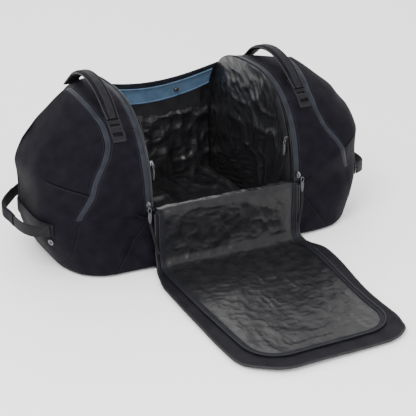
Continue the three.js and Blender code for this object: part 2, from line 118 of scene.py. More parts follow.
def unit(v):
    return v / np.maximum(np.linalg.norm(v, axis=-1, keepdims=True), 1e-12)


def smooth(table):
    """A smooth curve through a table of (key, value) that never overshoots it."""
    x, y = np.array(table, float).T
    h = np.diff(x)
    d = np.diff(y) / h
    m = np.zeros_like(x)
    same = d[:-1] * d[1:] > 0
    m[1:-1][same] = (2 * d[:-1] * d[1:] / np.where(same, d[:-1] + d[1:], 1))[same]
    m[0], m[-1] = d[0], d[-1]

    def at(v):
        v = np.clip(v, x[0], x[-1])
        i = np.clip(np.searchsorted(x, v) - 1, 0, len(h) - 1)
        s = (v - x[i]) / h[i]
        rise = s * s * (3 - 2 * s)
        bend = m[i] * s * (1 - s) ** 2 - m[i + 1] * s * s * (1 - s)
        return y[i] + (y[i + 1] - y[i]) * rise + h[i] * bend

    return at


def bunched(count, start=0.0, end=1.0):
    """Steps from start to end that lie closer together at both ends."""
    return start + (end - start) * (0.5 - 0.5 * np.cos(np.pi * np.arange(count + 1) / count))


def lattice(i, seed):
    h = (i[..., 0] * 73856093) ^ (i[..., 1] * 19349663) ^ (i[..., 2] * 83492791) ^ (seed * 961748941)
    h = ((h ^ (h >> 13)) * 1274126177) & 0x7FFFFFFF
    h = ((h ^ (h >> 11)) * 668265263) & 0x7FFFFFFF
    return h / 0x3FFFFFFF - 1


def noise(p, size, seed=0):
    """Smooth random values from -1 to 1 that vary over about `size` metres."""
    q = np.asarray(p, float) / size + 101.5
    i = np.floor(q).astype(np.int64)
    f = q - i
    f = f * f * (3 - 2 * f)
    total = 0
    for dx in (0, 1):
        for dy in (0, 1):
            for dz in (0, 1):
                share = (f[..., 0] if dx else 1 - f[..., 0]) * (f[..., 1] if dy else 1 - f[..., 1])
                share = share * (f[..., 2] if dz else 1 - f[..., 2])
                total = total + share * lattice(i + np.array([dx, dy, dz]), seed)
    return total


def crumple(p, size, seed=0):
    """Sharp creases with slack between them, from 0 to 1."""
    return np.clip(1 - 2.4 * np.abs(noise(p, size, seed)), 0, 1) ** 1.5


# ---- The pods' skin ----

end_length = smooth(END_LENGTH)
zip_x = smooth(POD_ZIP_X)


def plan(w, end):
    """The pods' outline seen from above, a uniform Catmull-Rom curve as in the CAD."""
    points = np.array(PLAN[end], float)
    last = len(points) - 1
    p = np.clip(w, 0, 1) * last
    i = np.minimum(np.floor(p).astype(int), last - 1)
    f = (p - i)[..., None]
    p0, p1 = points[np.maximum(i - 1, 0)], points[i]
    p2, p3 = points[i + 1], points[np.minimum(i + 2, last)]
    v0, v1 = (p2 - p0) / 2, (p3 - p1) / 2
    return (2 * p1 - 2 * p2 + v0 + v1) * f**3 + (-3 * p1 + 3 * p2 - 2 * v0 - v1) * f**2 + v0 * f + p1


def profile(s, end):
    """Height and half depth at side parameter s, 0 at the floor and 1 at the crown."""
    low = s / LEG
    a = np.clip((s - LEG) / (1 - LEG), 0, 1) * np.pi / 2
    p = 2 / ARCH_POWER[end]
    z = np.where(s < LEG, low * SIDE_Z, SIDE_Z + ARCH_RISE * np.sin(a) ** p)
    half = np.where(s < LEG, BASE_HALF[end] + (ARCH_HALF - BASE_HALF[end]) * low,
                    ARCH_HALF * np.maximum(np.cos(a), 0) ** p)
    return z, half


def side_at(z, end):
    sine = np.clip((z - SIDE_Z) / ARCH_RISE, 0, 1) ** (ARCH_POWER[end] / 2)
    return np.where(z < SIDE_Z, LEG * z / SIDE_Z, LEG + (1 - LEG) * np.arcsin(sine) / (np.pi / 2))


def t_front(z):
    return side_at(np.asarray(z, float), "front") / 2


def t_rear(z):
    return 1 - side_at(np.asarray(z, float), "rear") / 2


def skin(side, t, w):
    """The formed skin: t from the front floor over the crown to the rear floor, w from arch to nose."""
    t, w = np.broadcast_arrays(np.asarray(t, float), np.asarray(w, float))
    s = 1 - np.abs(2 * t - 1)
    (zf, hf), (zr, hr) = profile(s, "front"), profile(s, "rear")
    front = t < 0.5
    z = np.where(front, zf, zr)
    front_plan, rear_plan = plan(w, "front"), plan(w, "rear")
    x = OPENING_HALF + (end_length(z) - OPENING_HALF) * np.where(front, front_plan[..., 0], rear_plan[..., 0])
    rise = w * np.clip((z - SIDE_Z) / ARCH_RISE, 0, 1) ** 1.5
    forward = -hf * front_plan[..., 1] * (1 - TAPER["front"] * rise)
    back = hr * rear_plan[..., 1] * (1 - TAPER["rear"] * rise)
    return np.stack([side * x, MID_Y + np.where(front, forward, back), z], -1)


def w_at(t, x):
    t, x = np.broadcast_arrays(np.asarray(t, float), np.asarray(x, float))
    lo, hi = np.zeros(t.shape), np.ones(t.shape)
    for _ in range(30):
        mid = (lo + hi) / 2
        short = skin(1, t, mid)[..., 0] < x
        lo, hi = np.where(short, mid, lo), np.where(short, hi, mid)
    return (lo + hi) / 2


RIDGE_RISE = ((OPENING_HALF, 0.11), (0.29, 0.18), (0.40, 0.22))
RIDGE = smooth(RIDGE_RISE)


def slack(p):
    """Moves points of the formed skin to the stitched cloth: a creased ridge, dents and a rounded foot."""
    ax, y, z = np.abs(p[..., 0]), p[..., 1], p[..., 2]
    side = np.sign(p[..., :1])
    centre = np.concatenate([side * np.minimum(ax, 0.30)[..., None], np.full_like(side, MID_Y),
                             np.clip(z, 0, 0.16)[..., None]], -1)
    out = unit(p - centre)
    crown = 1 - ramp(z, 0.29, 0.335)
    away = ramp(ax, 0.18, 0.22) * crown
    above = z - RIDGE(ax)
    tent = (0.0065 - 0.26 * np.sqrt(above**2 + 0.0022**2)) * (1 - ramp(np.abs(above), 0.035, 0.105))
    front = np.where(y < MID_Y, 1.0, 0.4) * (1 - 0.6 * ramp(ax, 0.33, 0.39))
    move = away * front * tent
    move = move + away * (0.0030 * noise(p, 0.085, 3) + 0.0014 * noise(p, 0.04, 4))
    move = move + 0.0010 * noise(p, 0.06, 5) * crown
    tuck = -0.007 * np.clip(1 - z / 0.014, 0, 1) ** 2
    flat = unit(out * np.array([1, 1, 0]))
    return p + out * move[..., None] + flat * tuck[..., None]


def pod(side, t, w):
    return slack(skin(side, t, w))


def on_pod(side, t, x):
    """Points of the stitched skin at distance x from the bag's middle, and the outward normals there."""
    w = w_at(t, x)
    p = pod(side, t, w)
    across = pod(side, t, np.clip(w + 0.01, 0, 1)) - pod(side, t, np.clip(w - 0.01, 0, 1))
    along = pod(side, t + 0.004, w) - pod(side, t - 0.004, w)
    n = unit(np.cross(across, along))
    facing = np.sum(n * (p - pod_middle(side)), -1, keepdims=True)
    return p, np.where(facing < 0, -n, n)


def pod_middle(side):
    return np.array([side * (OPENING_HALF + 0.06), MID_Y, SIDE_Z])


HEIGHTS = profile(np.linspace(float(side_at(np.array(SPLIT_Z), "front")), 1, 56), "front")[0]
OVER = np.concatenate([t_front(HEIGHTS), t_rear(HEIGHTS)[-2::-1]])


# ---- Meshes ----

def link(name, mesh):
    piece = bpy.data.objects.new(name, mesh)
    bpy.context.scene.collection.objects.link(piece)
    return piece


def build(name, verts, quads, corners, kinds, mats, angle=48):
    """A mesh from quads, some of which may have collapsed to triangles, with a corner UV for each."""
    faces, uvs, ids = [], [], []
    for quad, uv, kind in zip(quads.tolist(), corners.tolist(), kinds.tolist()):
        keep = [k for k in range(4) if quad[k] != quad[k - 1]]
        if len({quad[k] for k in keep}) < 3:
            continue
        faces.append([quad[k] for k in keep])
        uvs.extend(uv[k] for k in keep)
        ids.append(kind)
    mesh = bpy.data.meshes.new(name)
    mesh.from_pydata(verts.tolist(), [], faces)
    layer = mesh.uv_layers.new(name="UVMap")
    layer.data.foreach_set("uv", np.array(uvs, np.float32).ravel())
    for mat in mats:
        mesh.materials.append(mat)
    mesh.polygons.foreach_set("material_index", np.array(ids, np.int32))
    mesh.shade_smooth()
    mesh.set_sharp_from_angle(angle=math.radians(angle))
    mesh.update()
    return link(name, mesh)


def grid_uv(p, offset=(0, 0)):
    """UVs in metres for a grid of points, measured along its rows and down its middle column."""
    du = np.linalg.norm(np.diff(p, axis=1), axis=2)
    u = np.concatenate([np.zeros((len(p), 1)), np.cumsum(du, 1)], 1)
    dv = np.linalg.norm(np.diff(p, axis=0), axis=2).mean(1)
    v = np.concatenate([[0], np.cumsum(dv)])
    u = u - u[:, -1:] / 2
    return np.stack([u + offset[0], np.repeat(v[:, None], p.shape[1], 1) + offset[1]], -1)


def normals_of(p, inside):
    """Welded ids, normals and quads of a grid, with the normals turned away from `inside`."""
    n, m = p.shape[:2]
    keys = np.round(p.reshape(-1, 3) * 1e5).astype(np.int64)
    _, first, ids = np.unique(keys, axis=0, return_index=True, return_inverse=True)
    ids = ids.reshape(n, m)
    verts = p.reshape(-1, 3)[first]
    quads = np.stack([ids[:-1, :-1], ids[1:, :-1], ids[1:, 1:], ids[:-1, 1:]], -1).reshape(-1, 4)
    a, b, c, d = (verts[quads[:, k]] for k in range(4))
    area = np.cross(c - a, d - b) / 2
    facing = np.sum(area * ((a + b + c + d) / 4 - inside))
    sign = -1 if facing < 0 else 1
    normal = np.zeros_like(verts)
    for k in range(4):
        np.add.at(normal, quads[:, k], sign * area)
    return ids, verts, unit(normal), quads, sign


def sheet(name, p, thick, inside, outer, inner=None, lift=0.0, holes=None, uv=None):
    """A closed cloth solid: a grid of points, thickened by `thick` towards `inside`."""
    uv = grid_uv(p) if uv is None else uv
    ids, verts, normal, quads, sign = normals_of(p, inside)
    corner = np.stack([uv[:-1, :-1], uv[1:, :-1], uv[1:, 1:], uv[:-1, 1:]], 2).reshape(-1, 4, 2)
    if holes is not None:
        keep = ~holes.reshape(-1)
        quads, corner = quads[keep], corner[keep]
    if sign < 0:
        quads, corner = quads[:, ::-1], corner[:, ::-1]
    count = len(verts)
    a, b = quads.reshape(-1), np.roll(quads, -1, 1).reshape(-1)
    uva, uvb = corner.reshape(-1, 2), np.roll(corner, -1, 1).reshape(-1, 2)
    real = a != b
    a, b, uva, uvb = a[real], b[real], uva[real], uvb[real]
    open_edge = ~np.isin(a * count + b, b * count + a)
    a, b, uva, uvb = a[open_edge], b[open_edge], uva[open_edge], uvb[open_edge]
    rim = np.stack([b, a, a + count, b + count], 1)
    step = np.array([0, thick])
    rim_uv = np.stack([uvb, uva, uva + step, uvb + step], 1)
    back = quads[:, ::-1] + count
    shifted = np.concatenate([verts + normal * lift, verts + normal * (lift - thick)])
    kinds = np.concatenate([np.zeros(len(quads)), np.ones(len(quads)), np.zeros(len(rim))]).astype(int)
    mats = [outer, inner or outer]
    return build(name, shifted, np.concatenate([quads, back, rim]),
                 np.concatenate([corner, corner[:, ::-1], rim_uv]), kinds, mats)


def resample(path, up, step):
    """The path and its up vectors at even spacing."""
    length = np.concatenate([[0], np.cumsum(np.linalg.norm(np.diff(path, axis=0), axis=1))])
    s = np.linspace(0, length[-1], max(int(round(length[-1] / step)), 2) + 1)
    pick = lambda v: np.stack([np.interp(s, length, v[:, k]) for k in range(3)], 1)
    return pick(path), unit(pick(up))


def frames(path, up):
    along = unit(np.gradient(path, axis=0))
    up = unit(up - np.sum(up * along, 1, keepdims=True) * along)
    return along, up, np.cross(along, up)


def oval(width, height, count=10):
    a = np.arange(count) * 2 * np.pi / count
    return np.stack([width / 2 * np.cos(a), height / 2 * np.sin(a)], 1)


def strap(width, height, radius=None, rows=4):
    """A rounded flat section."""
    r = min(width, height) / 2 * 0.98 if radius is None else radius
    points = []
    for cx, cy, start in ((1, -1, -90), (1, 1, 0), (-1, 1, 90), (-1, -1, 180)):
        for k in range(rows):
            a = math.radians(start + 90 * k / (rows - 1))
            points.append((cx * (width / 2 - r) + r * math.cos(a), cy * (height / 2 - r) + r * math.sin(a)))
    return np.array(points)


def sweep(name, path, up, section, mat, scale=None, lift=0.0):
    """A section carried along a path, its second axis along `up`, closed at both ends."""
    path, up = np.asarray(path, float), np.broadcast_to(np.asarray(up, float), np.shape(path))
    _, up, across = frames(path, up)
    n, m = len(path), len(section)
    size = np.ones((n, 1)) if scale is None else np.asarray(scale, float).reshape(n, -1)
    sx, sy = section[None, :, 0] * size[:, :1], section[None, :, 1] * size[:, -1:] + lift
    verts = path[:, None] + across[:, None] * sx[..., None] + up[:, None] * sy[..., None]
    verts = np.concatenate([verts.reshape(-1, 3), path[[0]] + up[[0]] * lift, path[[-1]] + up[[-1]] * lift])
    i, j = np.meshgrid(np.arange(n - 1), np.arange(m), indexing="ij")
    k = (j + 1) % m
    quads = np.stack([i * m + j, i * m + k, (i + 1) * m + k, (i + 1) * m + j], -1).reshape(-1, 4)
    v = np.concatenate([[0], np.cumsum(np.linalg.norm(np.diff(path, axis=0), axis=1))])
    girth = np.vstack([section, section[:1]])
    u = np.concatenate([[0], np.cumsum(np.linalg.norm(np.diff(girth, axis=0), axis=1))])
    uv = np.stack([np.stack([u[j], v[i]], -1), np.stack([u[j + 1], v[i]], -1),
                   np.stack([u[j + 1], v[i + 1]], -1), np.stack([u[j], v[i + 1]], -1)], 2).reshape(-1, 4, 2)
    ring = np.arange(m)
    first = np.stack([np.full(m, n * m), (ring + 1) % m, ring, np.full(m, n * m)], 1)
    last = np.stack([np.full(m, n * m + 1), (n - 1) * m + ring, (n - 1) * m + (ring + 1) % m,
                     np.full(m, n * m + 1)], 1)
    ends = np.zeros((2 * m, 4, 2))
    quads = np.concatenate([quads, first, last])
    return build(name, verts, quads, np.concatenate([uv, ends]), np.zeros(len(quads), int), [mat])


def coil(name, path, up, mat, width=0.0042, height=0.0018, pitch=0.0016, lift=0.0):
    """A zip's coil, ribbed at its tooth pitch."""
    path, up = resample(path, up, pitch / 2)
    rib = np.where(np.arange(len(path)) % 2, 1.0, 0.72)
    return sweep(name, path, up, oval(width, height, 8), mat, scale=rib, lift=lift)


def stitches(name, path, up, mat, pitch=0.0038, length=0.0027, radius=0.00045):
    """A row of separate stitches along a path."""
    path, up = resample(path, up, pitch)
    along, up, across = frames(path, up)
    middle = (path[:-1] + path[1:]) / 2
    along, up, across = along[:-1], up[:-1], across[:-1]
    ends = along * length / 2
    verts = np.stack([middle - ends, middle + ends, middle + up * radius, middle + across * radius * 1.2,
                      middle - up * radius, middle - across * radius * 1.2], 1)
    pattern = np.array([[0, 3, 2], [0, 4, 3], [0, 5, 4], [0, 2, 5],
                        [1, 2, 3], [1, 3, 4], [1, 4, 5], [1, 5, 2]])
    tris = (np.arange(len(middle))[:, None, None] * 6 + pattern).reshape(-1, 3)
    quads = np.concatenate([tris, tris[:, :1]], 1)
    uv = np.zeros((len(quads), 4, 2))
    uv[..., 1] = np.repeat(np.arange(len(middle)), 8)[:, None] * pitch
    return build(name, verts.reshape(-1, 3), quads, uv, np.zeros(len(quads), int), [mat], angle=80)


def on_body(piece, body, replaces=()):
    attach(piece, body)
    if replaces:
        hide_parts(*replaces)
    return piece


# ---- Materials ----

class Graph:
    """A principled material whose bump heights are in metres."""

    def __init__(self, name, rough, metal=0.0, specular=0.5, sheen=0.0, coat=0.0):
        self.mat = bpy.data.materials.new(name)
        self.mat.use_nodes = True
        self.tree = self.mat.node_tree
        self.shader = self.tree.nodes["Principled BSDF"]
        for key, value in (("Roughness", rough), ("Metallic", metal), ("Specular IOR Level", specular),
                           ("Sheen Weight", sheen), ("Sheen Roughness", 0.45), ("Coat Weight", coat),
                           ("Coat Roughness", 0.25)):
            self.shader.inputs[key].default_value = value
        uv = self.node("ShaderNodeUVMap")
        uv.uv_map = "UVMap"
        self.uv = uv.outputs["UV"]
        split = self.node("ShaderNodeSeparateXYZ")
        self.join(self.uv, split.inputs[0])
        self.u, self.v = split.outputs["X"], split.outputs["Y"]

    def node(self, kind, **inputs):
        made = self.tree.nodes.new(kind)
        for key, value in inputs.items():
            made.inputs[key.replace("_", " ")].default_value = value
        return made

    def join(self, out, into):
        self.tree.links.new(out, into)

    def math(self, operation, *values):
        made = self.tree.nodes.new("ShaderNodeMath")
        made.operation = operation
        for k, value in enumerate(values):
            if isinstance(value, (int, float)):
                made.inputs[k].default_value = value
            else:
                self.join(value, made.inputs[k])
        return made.outputs[0]

    def noise(self, size, detail=2.0, distortion=0.0, ridged=False):
        made = self.node("ShaderNodeTexNoise", Scale=1 / size, Detail=detail, Distortion=distortion)
        if ridged:
            made.noise_type = "RIDGED_MULTIFRACTAL"
        self.join(self.uv, made.inputs["Vector"])
        return made.outputs[0]

    def voronoi(self, size, feature="F1"):
        made = self.node("ShaderNodeTexVoronoi", Scale=1 / size)
        made.feature = feature
        self.join(self.uv, made.inputs["Vector"])
        return made.outputs["Distance"]

    def wave(self, axis, pitch):
        return self.math("SINE", self.math("MULTIPLY", axis, 2 * math.pi / pitch))

    def colours(self, factor, dark, light, low=0.35, high=0.65):
        made = self.tree.nodes.new("ShaderNodeValToRGB")
        made.color_ramp.elements[0].position, made.color_ramp.elements[1].position = low, high
        made.color_ramp.elements[0].color = (*dark, 1)
        made.color_ramp.elements[1].color = (*light, 1)
        self.join(factor, made.inputs[0])
        self.join(made.outputs[0], self.shader.inputs["Base Color"])

    def roughness(self, factor, low, high):
        made = self.node("ShaderNodeMapRange", To_Min=low, To_Max=high)
        self.join(factor, made.inputs[0])
        self.join(made.outputs[0], self.shader.inputs["Roughness"])

    def bump(self, *layers):
        """layers are pairs of a height from about 0 to 1 and its depth in metres."""
        total = None
        for height, depth in layers:
            part = self.math("MULTIPLY", height, depth)
            total = part if total is None else self.math("ADD", total, part)
        made = self.node("ShaderNodeBump", Strength=1.0, Distance=1.0)
        self.join(total, made.inputs["Height"])
        self.join(made.outputs[0], self.shader.inputs["Normal"])
        return self.mat


def woven(name, dark, light, rough, pitch, depth, sheen=0.0, wrinkle=0.0006, size=0.03, specular=0.4):
    g = Graph(name, rough, sheen=sheen, specular=specular)
    patch = g.noise(0.03, 4)
    g.colours(patch, dark, light)
    g.roughness(g.noise(0.004, 3), rough - 0.08, rough + 0.08)
    weave = g.math("MULTIPLY", g.wave(g.u, pitch), g.wave(g.v, pitch))
    return g.bump((weave, depth), (g.noise(size, 3), wrinkle), (g.noise(0.0012, 1), depth * 0.6))


def tarpaulin(name, specular, relief):
    """The shiny coated lining; relief scales its creases."""
    g = Graph(name, 0.30, specular=specular, coat=0.05)
    g.colours(g.noise(0.025, 4), (0.005, 0.005, 0.006), (0.010, 0.010, 0.011))
    g.roughness(g.noise(0.012, 4), 0.22, 0.42)
    grid = g.math("MAXIMUM", g.wave(g.u, 0.0021), g.wave(g.v, 0.0021))
    return g.bump((g.noise(0.045, 5, 0.6, ridged=True), 0.0012 * relief), (g.voronoi(0.026), 0.0022 * relief),
                  (g.noise(0.009, 3), 0.0005 * relief), (grid, 0.00002))


def ribbed(name, dark, light, rough, along, across, depth):
    g = Graph(name, rough, specular=0.12, sheen=0.0)
    g.colours(g.noise(0.012, 4), dark, light)
    rib = g.math("ABSOLUTE", g.wave(g.v, along * 2))
    column = g.math("ABSOLUTE", g.wave(g.u, across * 2))
    return g.bump((g.math("MULTIPLY", rib, column), depth), (g.noise(0.02, 2), 0.0003))


def plain(name, dark, light, rough, metal=0.0, grain=0.00003, size=0.003, coat=0.0, specular=0.5):
    g = Graph(name, rough, metal=metal, coat=coat, specular=specular)
    g.colours(g.noise(size, 5), dark, light)
    g.roughness(g.noise(size * 0.4, 3), rough - 0.1, rough + 0.12)
    return g.bump((g.noise(size * 0.3, 3), grain), (g.noise(size * 2, 1), grain * 2))


CLOTH = woven("shell_fabric_cloth", (0.0027, 0.0023, 0.0042), (0.0053, 0.0046, 0.0075), 0.62, 0.0011, 0.00007,
              sheen=0.0, wrinkle=0.0018, size=0.05, specular=0.05)
LINING = tarpaulin("tarpaulin_lining_gloss", 0.42, 1.25)
MAT_LINING = tarpaulin("tarpaulin_mat_gloss", 0.20, 0.60)
POCKET = woven("pocket_cloth", (0.008, 0.008, 0.010), (0.013, 0.013, 0.015), 0.5, 0.0009, 0.00005,
               wrinkle=0.001, specular=0.25)
TAPE = woven("zip_tape_cloth", (0.0065, 0.0075, 0.012), (0.014, 0.016, 0.023), 0.55, 0.0007, 0.00005,
             sheen=0.02, wrinkle=0.0002, specular=0.15)
FLAP_TAPE = woven("flap_tape_cloth", (0.0055, 0.0055, 0.008), (0.010, 0.010, 0.013), 0.6, 0.0007, 0.00005,
                  wrinkle=0.0002, specular=0.1)
COIL = plain("zip_coil_nylon", (0.005, 0.0055, 0.0075), (0.012, 0.013, 0.0165), 0.45, specular=0.16)
WEBBING = ribbed("webbing_ribbed", (0.0042, 0.0042, 0.0055), (0.0085, 0.0085, 0.0105), 0.62, 0.0016, 0.0024,
                 0.00018)
PIPING = woven("piping_cloth", (0.007, 0.007, 0.008), (0.012, 0.012, 0.014), 0.55, 0.0008, 0.00005,
               specular=0.25)
HEM = woven("blue_hem_cloth", (0.045, 0.082, 0.135), (0.068, 0.118, 0.185), 0.65, 0.0012, 0.00008, sheen=0.05,
            wrinkle=0.0014, specular=0.2)
METAL = plain("slider_metal_plated", (0.10, 0.104, 0.112), (0.18, 0.184, 0.195), 0.32, metal=1.0)
PULL = plain("pull_tab_moulded", (0.035, 0.037, 0.042), (0.060, 0.063, 0.070), 0.5, specular=0.3)
SNAP = plain("snap_enamel", (0.02, 0.02, 0.022), (0.05, 0.05, 0.055), 0.3, metal=0.6, coat=0.4)
THREAD = woven("thread", (0.012, 0.012, 0.015), (0.022, 0.022, 0.027), 0.55, 0.0006, 0.00005, specular=0.25)
# Near-black cloth for the strip laid along each seam: painted shade standing in for the shadow in the seam's
# groove
SEAM_PAINTED_SHADE = woven("seam_painted_shade_cloth", (0.0015, 0.0015, 0.002), (0.0025, 0.0025, 0.003), 0.9, 0.0006, 0.00003,
               specular=0.02)
BACKING = woven("backing_cloth", (0.007, 0.007, 0.008), (0.011, 0.011, 0.013), 0.7, 0.0012, 0.00006,
                specular=0.15)


# ---- Pods ----

def outward(p, inside):
    n = unit(np.cross(np.gradient(p, axis=0), np.gradient(p, axis=1)))
    return n if np.sum(n * (p - inside)) > 0 else -n


def rolled(p, inside, drop=0.0016, reach=0.0022, puff=0.0, both=True):
    """Cloth that is turned under along its first and last columns, and crowned by `puff` between them."""
    u = np.cumsum(np.linalg.norm(np.diff(p, axis=1, prepend=p[:, :1]), axis=2), 1)
    d = np.minimum(u, u[:, -1:] - u) if both else u
    f = u / np.maximum(u[:, -1:], 1e-6)
    move = -drop * np.exp(-d / reach) + puff * np.sin(np.pi * f)
    return p + outward(p, inside) * move[..., None]


def band(side, near, far, columns, ts=OVER):
    z = skin(1, ts, 0.0)[:, 2][:, None]
    f = bunched(columns)
    return pod(side, ts[:, None], w_at(ts[:, None], near(z) * (1 - f) + far(z) * f))


def line_on(side, ts, x, lift=0.0):
    p, n = on_pod(side, ts, x)
    return p + n * lift, n


def always(value):
    return lambda z: np.full_like(z, value)


def ride_cap(piece):
    """Bakes the transform of a piece of a pod's cap into its mesh; the piece is attached to no body."""
    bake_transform(piece)


def pods():
    ys = skin(1, OVER, 0.0)[:, 2]
    for name, side in SIDES:
        middle = pod_middle(side)
        edge = OPENING_HALF + ARCH_TAPE
        tape = sheet(f"arch_tape_cloth_{name}", band(side, always(OPENING_HALF), always(edge + 0.001), 4),
                     TAPE_THICK, middle, TAPE, lift=-0.0007)
        on_body(tape, "bag", [f"arch_tape_{name}"])
        collar = band(side, always(edge), lambda z: zip_x(z) - TAPE_HALF - 0.0006, 30)
        collar = rolled(collar, middle, puff=0.0015)
        collar = sheet(f"collar_cloth_{name}", collar, SHELL, middle, CLOTH, BACKING)
        on_body(collar, "bag", [f"collar_{name}"])
        reach = TAPE_HALF + 0.001
        zip_band = band(side, lambda z: zip_x(z) - reach, lambda z: zip_x(z) + reach, 8)
        zip_band = sheet(f"pod_tape_cloth_{name}", zip_band, TAPE_THICK, middle, TAPE, lift=-0.0006)
        on_body(zip_band, "bag", [f"pod_tape_{name}"])
        w0 = w_at(OVER, zip_x(ys) + TAPE_HALF + 0.0006)[:, None]
        cap = pod(side, OVER[:, None], w0 + (1 - w0) * bunched(46))
        cap = sheet(f"pod_cap_cloth_{name}", rolled(cap, middle, both=False), SHELL, middle, CLOTH, BACKING)
        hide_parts(f"pod_cap_{name}")
        ride_cap(cap)
        zs = np.linspace(FOOT_Z, SPLIT_Z, 40)[:, None]
        ws = bunched(52)[None]
        lower = np.concatenate([pod(side, t_front(zs), ws), pod(side, t_rear(zs), ws[:, ::-1])[:, 1:]], 1)
        lower = sheet(f"pod_lower_cloth_{name}", lower, SHELL, middle, CLOTH, BACKING)
        on_body(lower, "bag", [f"pod_lower_{name}"])
        zips_and_seams(name, side, ys)


def zips_and_seams(name, side, ys):
    p, n = line_on(side, OVER, np.full_like(OVER, OPENING_HALF + 0.0008), 0.0004)
    on_body(coil(f"arch_coil_{name}", p, n, COIL), "bag")
    p, n = line_on(side, OVER, zip_x(ys), -0.0003)
    on_body(coil(f"pod_coil_{name}", p, n, TAPE, width=0.0030, height=0.0012), "bag")
    for tag, inset, lift in (("arch_inner", 0.0098, 0.0002), ("arch_outer", 0.0165, 0.0010)):
        p, n = line_on(side, OVER, np.full_like(OVER, OPENING_HALF + inset), lift)
        on_body(stitches(f"{tag}_stitches_{name}", p, n, THREAD), "bag")
    p, n = line_on(side, OVER, zip_x(ys) - TAPE_HALF - 0.0045, 0.0008)
    on_body(stitches(f"collar_zip_stitches_{name}", p, n, THREAD), "bag")
    p, n = line_on(side, OVER, zip_x(ys) + TAPE_HALF + 0.0045, 0.0004)
    cap_stitches = stitches(f"cap_zip_stitches_{name}", p, n, THREAD)
    ride_cap(cap_stitches)
    foot = OPENING_HALF + ARCH_TAPE
    seam(f"gusset_seam_{name}", side, (foot, 0.26), lambda x: 0.115 - 1.42 * (x - foot))
    seam(f"ridge_seam_{name}", side, (foot, 0.276), RIDGE)
    seam(f"tab_seam_{name}", side, (foot, GRAB_X - 0.01), always(0.295))
    seam(f"zip_end_seam_{name}", side, (0.325, 0.35), lambda x: 0.125 - 4.4 * (x - 0.325))
    seam(f"cap_seam_{name}", side, (0.304, 0.372), RIDGE, cap=True)


def seam(label, side, span, height, cap=False):
    """A sewn seam on the front of a pod: a near-black strip of painted shade where the groove between two
    cloths would fall, and a row of stitches beside it.
    """
    xs = np.linspace(*span, 60)
    zs = height(xs)
    p, n = on_pod(side, t_front(zs), xs)
    # A near-black strip along the seam line: painted shade for the seam's groove
    shade_strip = sweep(label, p - n * 0.0002, n, oval(0.0018, 0.0010, 8), SEAM_PAINTED_SHADE)
    p, n = on_pod(side, t_front(zs - 0.004), xs)
    row = stitches(f"{label}_stitches", p + n * 0.0002, n, THREAD)
    for piece in (shade_strip, row):
        if cap:
            ride_cap(piece)
        else:
            on_body(piece, "bag")


# ---- Walls, dividers and floor of the compartment ----

def rear_top(x):
    return REAR_TOP[0] + (REAR_TOP[1] - REAR_TOP[0]) * (np.abs(x) / WALL_HALF) ** 2


def wall_point(end, x, z):
    x, z = np.broadcast_arrays(x, z)
    half = profile(side_at(z, end), end)[1]
    return np.stack([x, MID_Y + (-half if end == "front" else half), z], -1)


def rear_grid(half, low, high, rows, columns=60):
    x = np.linspace(-half, half, columns + 1)[None]
    f = np.linspace(0, 1, rows + 1)[:, None]
    return wall_point("rear", x, low(x) * (1 - f) + high(x) * f)


def fan(outline, centre, rings):
    return centre + (outline[None] - centre) * rings[:, None, None]


def walls():
    middle = np.array([0, MID_Y, SIDE_Z])
    behind = np.array([0, 3.0, 0.1])
    half = OPENING_HALF - 0.0005
    x = np.linspace(-half, half, 61)[None]
    z = np.linspace(FOOT_Z, SPLIT_Z - 0.002, 24)[:, None]
    front = wall_point("front", x, z)
    front = sheet("front_wall_cloth", front, SHELL, middle, CLOTH, LINING)
    on_body(front, "bag", ["front_wall"])
    foot = lambda x: np.full_like(x, FOOT_Z)
    outer = rear_grid(half, foot, rear_top, 40)
    bow = 0.002 * noise(outer, 0.09, 7) * (1 - (np.abs(outer[..., 0]) / half) ** 4)
    outer = outer + np.array([0, 1, 0]) * bow[..., None]
    outer = sheet("rear_wall_cloth", outer, SHELL, middle, CLOTH, BACKING)
    on_body(outer, "bag", ["rear_wall"])
    tape = sheet("rear_tape_cloth", rear_grid(half, lambda x: rear_top(x) - 0.001,
                                              lambda x: rear_top(x) + ARCH_TAPE, 4), TAPE_THICK, middle, TAPE)
    on_body(tape, "bag", ["rear_zip_tape"])
    xs = np.linspace(-half, half, 80)
    up = np.tile([0.0, 1.0, 0.3], (80, 1))
    edge = wall_point("rear", xs, rear_top(xs) + ARCH_TAPE)
    on_body(coil("rear_coil", edge, up, COIL, width=0.0045), "bag")
    row = wall_point("rear", xs, rear_top(xs) - 0.004) + np.array([0, 0.0004, 0])
    on_body(stitches("rear_edge_stitches", row, up, THREAD), "bag")
    lining = rear_grid(LINING_HALF, foot, lambda x: rear_top(x) - 0.03, 60, 90)
    loose = 0.004 * crumple(lining, 0.06, 11) + 0.003 * crumple(lining, 0.03, 12)
    loose = loose + 0.003 * noise(lining, 0.08, 13)
    fade = 1 - ramp(lining[..., 2], 0.17, 0.21)
    lining[..., 1] -= SHELL + 0.0018 + (0.003 + loose) * fade
    lining = sheet("rear_lining", lining, LINING_THICK, behind, LINING)
    on_body(lining, "bag")
    hem_and_pocket(behind)


